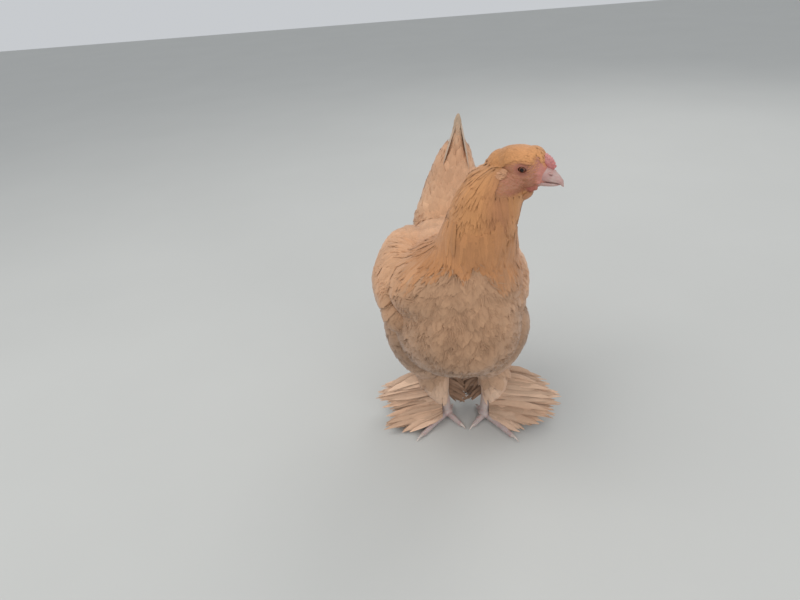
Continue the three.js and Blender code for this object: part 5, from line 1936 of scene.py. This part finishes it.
@dataclass
class Foot:
    """A feathered foot: scaled toes and shank, claws, and the fan of feathers beside it."""

    shop: Assembly
    name: str
    y: float
    reach: dict
    tips: tuple  # of the fan's outer edge, from its top round to the toe
    hock: tuple[float, float, float] = (33, 12, 90)
    ankle: tuple[float, float] = (28, 12)
    shank_radius: float = 6.6
    turns: dict = field(default_factory=lambda: {"inner": -39.5, "middle": 38, "outer": 86, "hind": -155})
    claws: dict = field(default_factory=lambda: {"inner": 10, "middle": 14, "outer": 11, "hind": 9})
    base_radius: float = 5.4
    end_radius: float = 3.4
    end_z: float = 3.0
    scute: float = 2.9  # length of one scute
    fan_count: int = 230
    hock_count: int = 230

    def toe(self, name: str) -> tuple[Vector, Vector, Vector]:
        """Where a toe starts and ends, and the way that it points."""
        side = SIDES[self.name]
        turn = math.radians(self.turns[name])
        ahead = Vector((side * math.sin(turn), -math.cos(turn), 0))
        start = Vector((side * self.ankle[0], self.y, self.base_radius))
        end = start + ahead * self.reach[name]
        end.z = self.end_z
        return start, end, ahead

    def toe_shape(self, name: str) -> bmesh.types.BMesh:
        """One toe: pads below, stepped scutes above, swollen at its joints."""
        start, end, ahead = self.toe(name)
        length = (end - start).length
        count = max(3, round(length / self.scute))
        joints = max(1, round(length / 16))
        across = np.array(Vector((0, 0, 1)).cross(ahead))

        def place(around: Array, along: Array) -> Array:
            """A ring of the toe with its steps and swellings."""
            angle = around * 2 * math.pi
            t = np.minimum(along * 1.04, 1)
            radius = self.base_radius + (self.end_radius - self.base_radius) * t
            radius = radius * (1 + 0.06 * np.cos(2 * math.pi * joints * t))
            upper = ramped(np.sin(angle), -0.1, 0.35)
            step = 1 - (t * count) % 1
            radius = radius + 0.42 * upper * (step - 0.5)
            pads = ramped(-np.sin(angle), 0.3, 0.9) * np.cos(2 * math.pi * joints * (t - 0.5 / joints))
            radius = radius + 0.4 * pads
            cap = np.sqrt(np.clip(1 - ((along - 0.96) / 0.04).clip(0, 1) ** 2, 0.02, 1))
            spot = np.array(start)[None, :] * (1 - t)[:, None] + np.array(end)[None, :] * t[:, None]
            spot = spot + across[None, :] * (radius * 0.92 * cap * np.cos(angle))[:, None]
            spot[:, 2] += radius * cap * np.sin(angle) + 1.3 * np.sin(math.pi * t)
            spot[:, 2] = np.maximum(spot[:, 2], 0.05)
            return spot

        return rolled(28, count * 5, place)

    def shank_shape(self) -> bmesh.types.BMesh:
        """The shank from hock to ankle, with scutes down its front."""
        side = SIDES[self.name]
        top = np.array((side * self.hock[0], self.hock[1], self.hock[2]))
        foot = np.array((side * self.ankle[0], self.y, self.ankle[1] - 4))

        def place(around: Array, along: Array) -> Array:
            """A ring of the shank."""
            angle = around * 2 * math.pi
            front = ramped(-np.sin(angle), 0.0, 0.5)
            radius = self.shank_radius * (1 + 0.14 * (1 - along) ** 3 + 0.1 * along**6)
            radius = radius + 0.45 * front * ((along * 17 + 0.12 * np.cos(angle) * 4) % 1 - 0.5)
            spot = foot[None, :] * (1 - along)[:, None] + top[None, :] * along[:, None]
            spot = spot + np.stack((radius * np.cos(angle), radius * np.sin(angle), 0 * along), axis=-1)
            return spot

        return rolled(36, 110, place)

    def flesh(self) -> None:
        """Shank, pad and toes in one skin."""
        side = SIDES[self.name]
        mesh = gathered([self.shank_shape()])
        pad = ellipsoid((side * self.ankle[0], self.y, 8.4), (9.4, 9.4, 8.3), 32)
        for shape in [pad, *(self.toe_shape(name) for name in self.turns)]:
            mesh = joined(mesh, gathered([shape]), "UNION")
        high = ramped(corners_of(mesh)[:, 2], 4, 60)
        tinted(mesh, blended(linear(196, 180, 176), linear(206, 184, 168), high))
        smoothed(mesh, 48)
        scaly = SkinFinish("scaled_foot", red=(196, 148, 146), gloss=0.42, flush=0.4)
        self.shop.put(f"scaled_foot_{self.name}", mesh, scaly, "scale", self.nodes())

    def nodes(self) -> list[str]:
        """The nodes of the frame that foot and shank stand for."""
        return [f"foot_{self.name}", f"shank_{self.name}"]

    def nails(self) -> None:
        """A curved claw at the end of each toe."""
        horn = HornFinish("claw_horn", (216, 204, 196), (186, 168, 158))
        for name in self.turns:
            _, end, ahead = self.toe(name)
            length = self.claws[name]
            across = np.array(Vector((0, 0, 1)).cross(ahead))

            def place(around: Array, along: Array) -> Array:
                """A ring of the claw, tapered and arched."""
                angle = around * 2 * math.pi
                radius = 2.6 * (1 - along) ** 0.8 + 0.32
                onward = (along * 1.1 - 0.1) * length
                spot = np.array(end)[None, :] + np.array(ahead)[None, :] * onward[:, None]
                spot = spot + across[None, :] * (0.8 * radius * np.cos(angle))[:, None]
                arch = 1.5 * np.sin(math.pi * along) - (self.end_z - 1.2) * along**1.6
                spot[:, 2] += radius * np.sin(angle) + arch
                spot[:, 2] = np.maximum(spot[:, 2], 0.05)
                return spot

            mesh = gathered([rolled(20, 18, place)])
            mesh.shade_smooth()
            self.shop.put(f"nail_{name}_{self.name}", mesh, horn, "claw", [f"claw_{name}_{self.name}"])

    def fan(self) -> None:
        """Long feathers from the shank and the outer toe, swept out beside the foot."""
        side = SIDES[self.name]
        plumage = Plumage(f"foot_feathers_{self.name}", STREAMER, 121 + side)
        draw = np.random.default_rng(plumage.seed)
        count = self.fan_count
        share = (np.linspace(0, 1, count) + 0.012 * draw.normal(size=count)).clip(0, 1)
        layer = draw.uniform(0, 1, count)
        edge = np.array(self.tips, float)
        places = np.linspace(0, 1, len(edge))
        tip = np.stack([np.interp(share, places, edge[:, k]) for k in range(3)], axis=-1)
        root_z = 78 - 68 * share**0.8
        root_x = side * np.interp(share, (0, 0.5, 1), (42, 34, 34))
        root_y = np.interp(share, (0, 0.5, 1), (6, 4, -10)) + 12 * (layer - 0.4)
        root = np.stack((root_x, root_y, root_z), axis=-1)
        shorter = (1.03 - 0.42 * draw.uniform(0, 1, count) ** 1.2)[:, None]
        tip = tip + np.stack((0 * share, 26 * (layer - 0.25), 5 * draw.normal(size=count) * share), axis=-1)
        tip = root + (tip - root) * shorter
        tip[:, 2] = np.maximum(tip[:, 2], 2.5)
        bend = (root + tip) / 2 + np.array((0, -2, 7.0)) + 3 * draw.normal(size=(count, 3))
        path = arched(root, bend, tip, STREAMER.stations)
        path[:, :, 2] = np.maximum(path[:, :, 2], 1.8)
        out = np.stack((side * 0.15 + 0 * share, -0.75 + 0.5 * layer, 0.8 + 0 * share), axis=-1)
        out = out + 0.3 * draw.normal(size=out.shape)
        out = np.repeat(unit(out)[:, None, :], len(STREAMER.stations), axis=1)
        colour = self.shop.marks.coat(tip, sided("plume", self.name))
        colour = colour * (1 + 0.1 * draw.normal(size=(count, 1)).clip(-2, 2))
        half = 3.4 + 1.9 * draw.uniform(size=count)
        spots = np.stack((0.05 + 0.9 * share, 0.05 + 0.9 * layer), axis=-1)
        plumage.add(path, out, half, np.clip(colour, 0, 1), spots)
        self.feathered(plumage)

    def feathered(self, plumage: Plumage) -> None:
        """Puts a piece of the foot's feathers in its place."""
        finish = FeatherFinish("feather_foot", 56.0)
        self.shop.put(plumage.name, plumage.mesh(), finish, "leg_plumage", self.nodes())

    def hocks(self) -> None:
        """Soft feathers behind and inside the shank, between the legs, all of one dark tone that is painted
        shade.
        """
        side = SIDES[self.name]
        plumage = Plumage(f"hock_feathers_{self.name}", STREAMER, 131 + side)
        draw = np.random.default_rng(plumage.seed)
        count = self.hock_count
        level, layer = draw.uniform(0, 1, count), draw.uniform(0, 1, count)
        root = np.stack((side * (30 - 4 * layer), 12 + 10 * layer, 34 + 62 * level), axis=-1)
        tip = np.stack(
            (side * (21 * layer - 4), 22 + 16 * layer + 5 * draw.normal(size=count), 7 + 46 * level), axis=-1
        )
        tip = root + (tip - root) * draw.uniform(0.7, 1.03, (count, 1)) + 4 * draw.normal(size=(count, 3))
        tip[:, 2] = np.maximum(tip[:, 2], 4)
        bend = (root + tip) / 2 + np.array((-side * 4.0, 0, 2.0)) + 3 * draw.normal(size=(count, 3))
        path = arched(root, bend, tip, STREAMER.stations)
        out = unit(np.array((-side * 0.3, -0.9, 0.2)) + 0.3 * draw.normal(size=(count, 1, 3)))
        out = np.tile(out, (1, len(STREAMER.stations), 1))
        # painted shade: every hock feather takes the dark tone that stands for the shade between the legs
        colour = np.tile(linear(*self.shop.marks.shade), (count, 1))
        colour = colour * (1 + 0.08 * draw.normal(size=(count, 1)))
        spots = np.stack((0.1 + 0.8 * layer, level), axis=-1)
        plumage.add(path, out, 1.9 + 1.0 * draw.uniform(size=count), colour, spots)
        self.feathered(plumage)

    def dress(self) -> None:
        """Makes the whole foot."""
        self.flesh()
        self.nails()
        self.fan()
        self.hocks()


@dataclass
class Studio:
    """Camera, floor and soft lights."""

    origin: Vector
    eye: tuple[float, float, float] = (-0.0164, -0.6853, 0.60)
    yaw: float = 5.5
    pitch: float = 30.0
    roll: float = 5.0
    lens: float = 27.0
    sensor: float = 36.0
    sky: tuple[float, float, float] = (0.93, 0.96, 1.0)
    sky_strength: float = 0.62
    aim: tuple[float, float, float] = (0, 0, 0.2)  # what the lamps look at
    # name, place, size in metres, power in watts and colour
    lamps: tuple = (
        ("key", (-1.0, -0.4, 1.9), 1.6, 17, (1.0, 0.98, 0.95)),
        ("fill", (0.9, -1.4, 0.7), 1.4, 8, (1.0, 0.98, 0.96)),
        ("back", (0.9, 1.5, 1.6), 1.2, 10, (1.0, 0.98, 0.96)),
    )

    def camera(self) -> None:
        """The view of the photograph."""
        yaw, pitch, roll = (math.radians(turn) for turn in (self.yaw, self.pitch, self.roll))
        ahead = Vector((-math.sin(yaw) * math.cos(pitch), math.cos(yaw) * math.cos(pitch), -math.sin(pitch)))
        level = Vector((math.cos(yaw), math.sin(yaw), 0))
        upright = level.cross(ahead)
        right = level * math.cos(roll) - upright * math.sin(roll)
        up = level * math.sin(roll) + upright * math.cos(roll)
        data = bpy.data.cameras.new("camera")
        data.lens = self.lens
        data.sensor_width = self.sensor
        data.clip_start = 0.01
        camera = bpy.data.objects.new("camera", data)
        turn = Matrix((right, up, -ahead)).transposed().to_4x4()
        camera.matrix_world = Matrix.Translation(Vector(self.eye) + self.origin) @ turn
        bpy.context.scene.collection.objects.link(camera)
        bpy.context.scene.camera = camera

    def floor(self) -> None:
        """A wide plain plane."""
        bm = bmesh.new()
        bmesh.ops.create_grid(bm, x_segments=1, y_segments=1, size=6.0)
        mesh = bpy.data.meshes.new("floor")
        bm.to_mesh(mesh)
        bm.free()
        mesh.materials.append(FloorFinish().material())
        floor = bpy.data.objects.new("floor", mesh)
        bpy.context.scene.collection.objects.link(floor)

    def light(self, name: str, place: tuple, size: float, power: float, colour: tuple) -> None:
        """A square lamp that looks at the bird's middle.

        Args:
            name: its name.
            place: where it hangs, in metres.
            size: the length of its side in metres.
            power: its power in watts.
            colour: its linear colour.
        """
        data = bpy.data.lights.new(name, "AREA")
        data.size = size
        data.energy = power
        data.color = colour
        lamp = bpy.data.objects.new(name, data)
        lamp.location = place
        lamp.rotation_euler = (Vector(self.aim) - Vector(place)).to_track_quat("-Z", "Y").to_euler()
        bpy.context.scene.collection.objects.link(lamp)

    def build(self) -> None:
        """Sets up the studio."""
        bpy.context.scene.view_settings.view_transform = "Standard"
        world = bpy.data.worlds.new("studio")
        world.use_nodes = True
        inputs = world.node_tree.nodes["Background"].inputs
        inputs["Color"].default_value = (*self.sky, 1)
        inputs["Strength"].default_value = self.sky_strength
        bpy.context.scene.world = world
        self.camera()
        self.floor()
        for lamp in self.lamps:
            self.light(*lamp)


def main() -> None:
    """Builds the bird and its studio, piece by piece."""
    logging.basicConfig(level=logging.INFO, format="%(message)s")
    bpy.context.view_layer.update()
    low, high = (Vector(corner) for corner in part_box("eye_right"))
    origin = (low + high) / 2 - EYE_MIDDLE * METRES
    shop = Assembly(origin)
    Studio(origin).build()
    body = Body()
    skin = body.skin()
    hide = Hide(skin, body.forms())
    coat = Coat(body, hide, shop)
    body.painted(skin, hide, shop.marks)
    skin.shade_smooth()
    nodes = ["torso", "neck", "head", "tail", "wing_right", "wing_left", "thigh_right", "thigh_left"]
    coat.grow()
    shop.put("skin", skin, SkinFinish("skin_face"), "face", nodes)
    for name in SIDES:
        part = sided("wing", name)
        Wing(shop, name, hide.forms[part], part).dress()
    Tail(shop, body).dress()
    Face(shop, body).dress()
    for name, (y, reach, edge) in FEET.items():
        Foot(shop, name, y, reach, edge).dress()


if __name__ == "__main__":
    main()
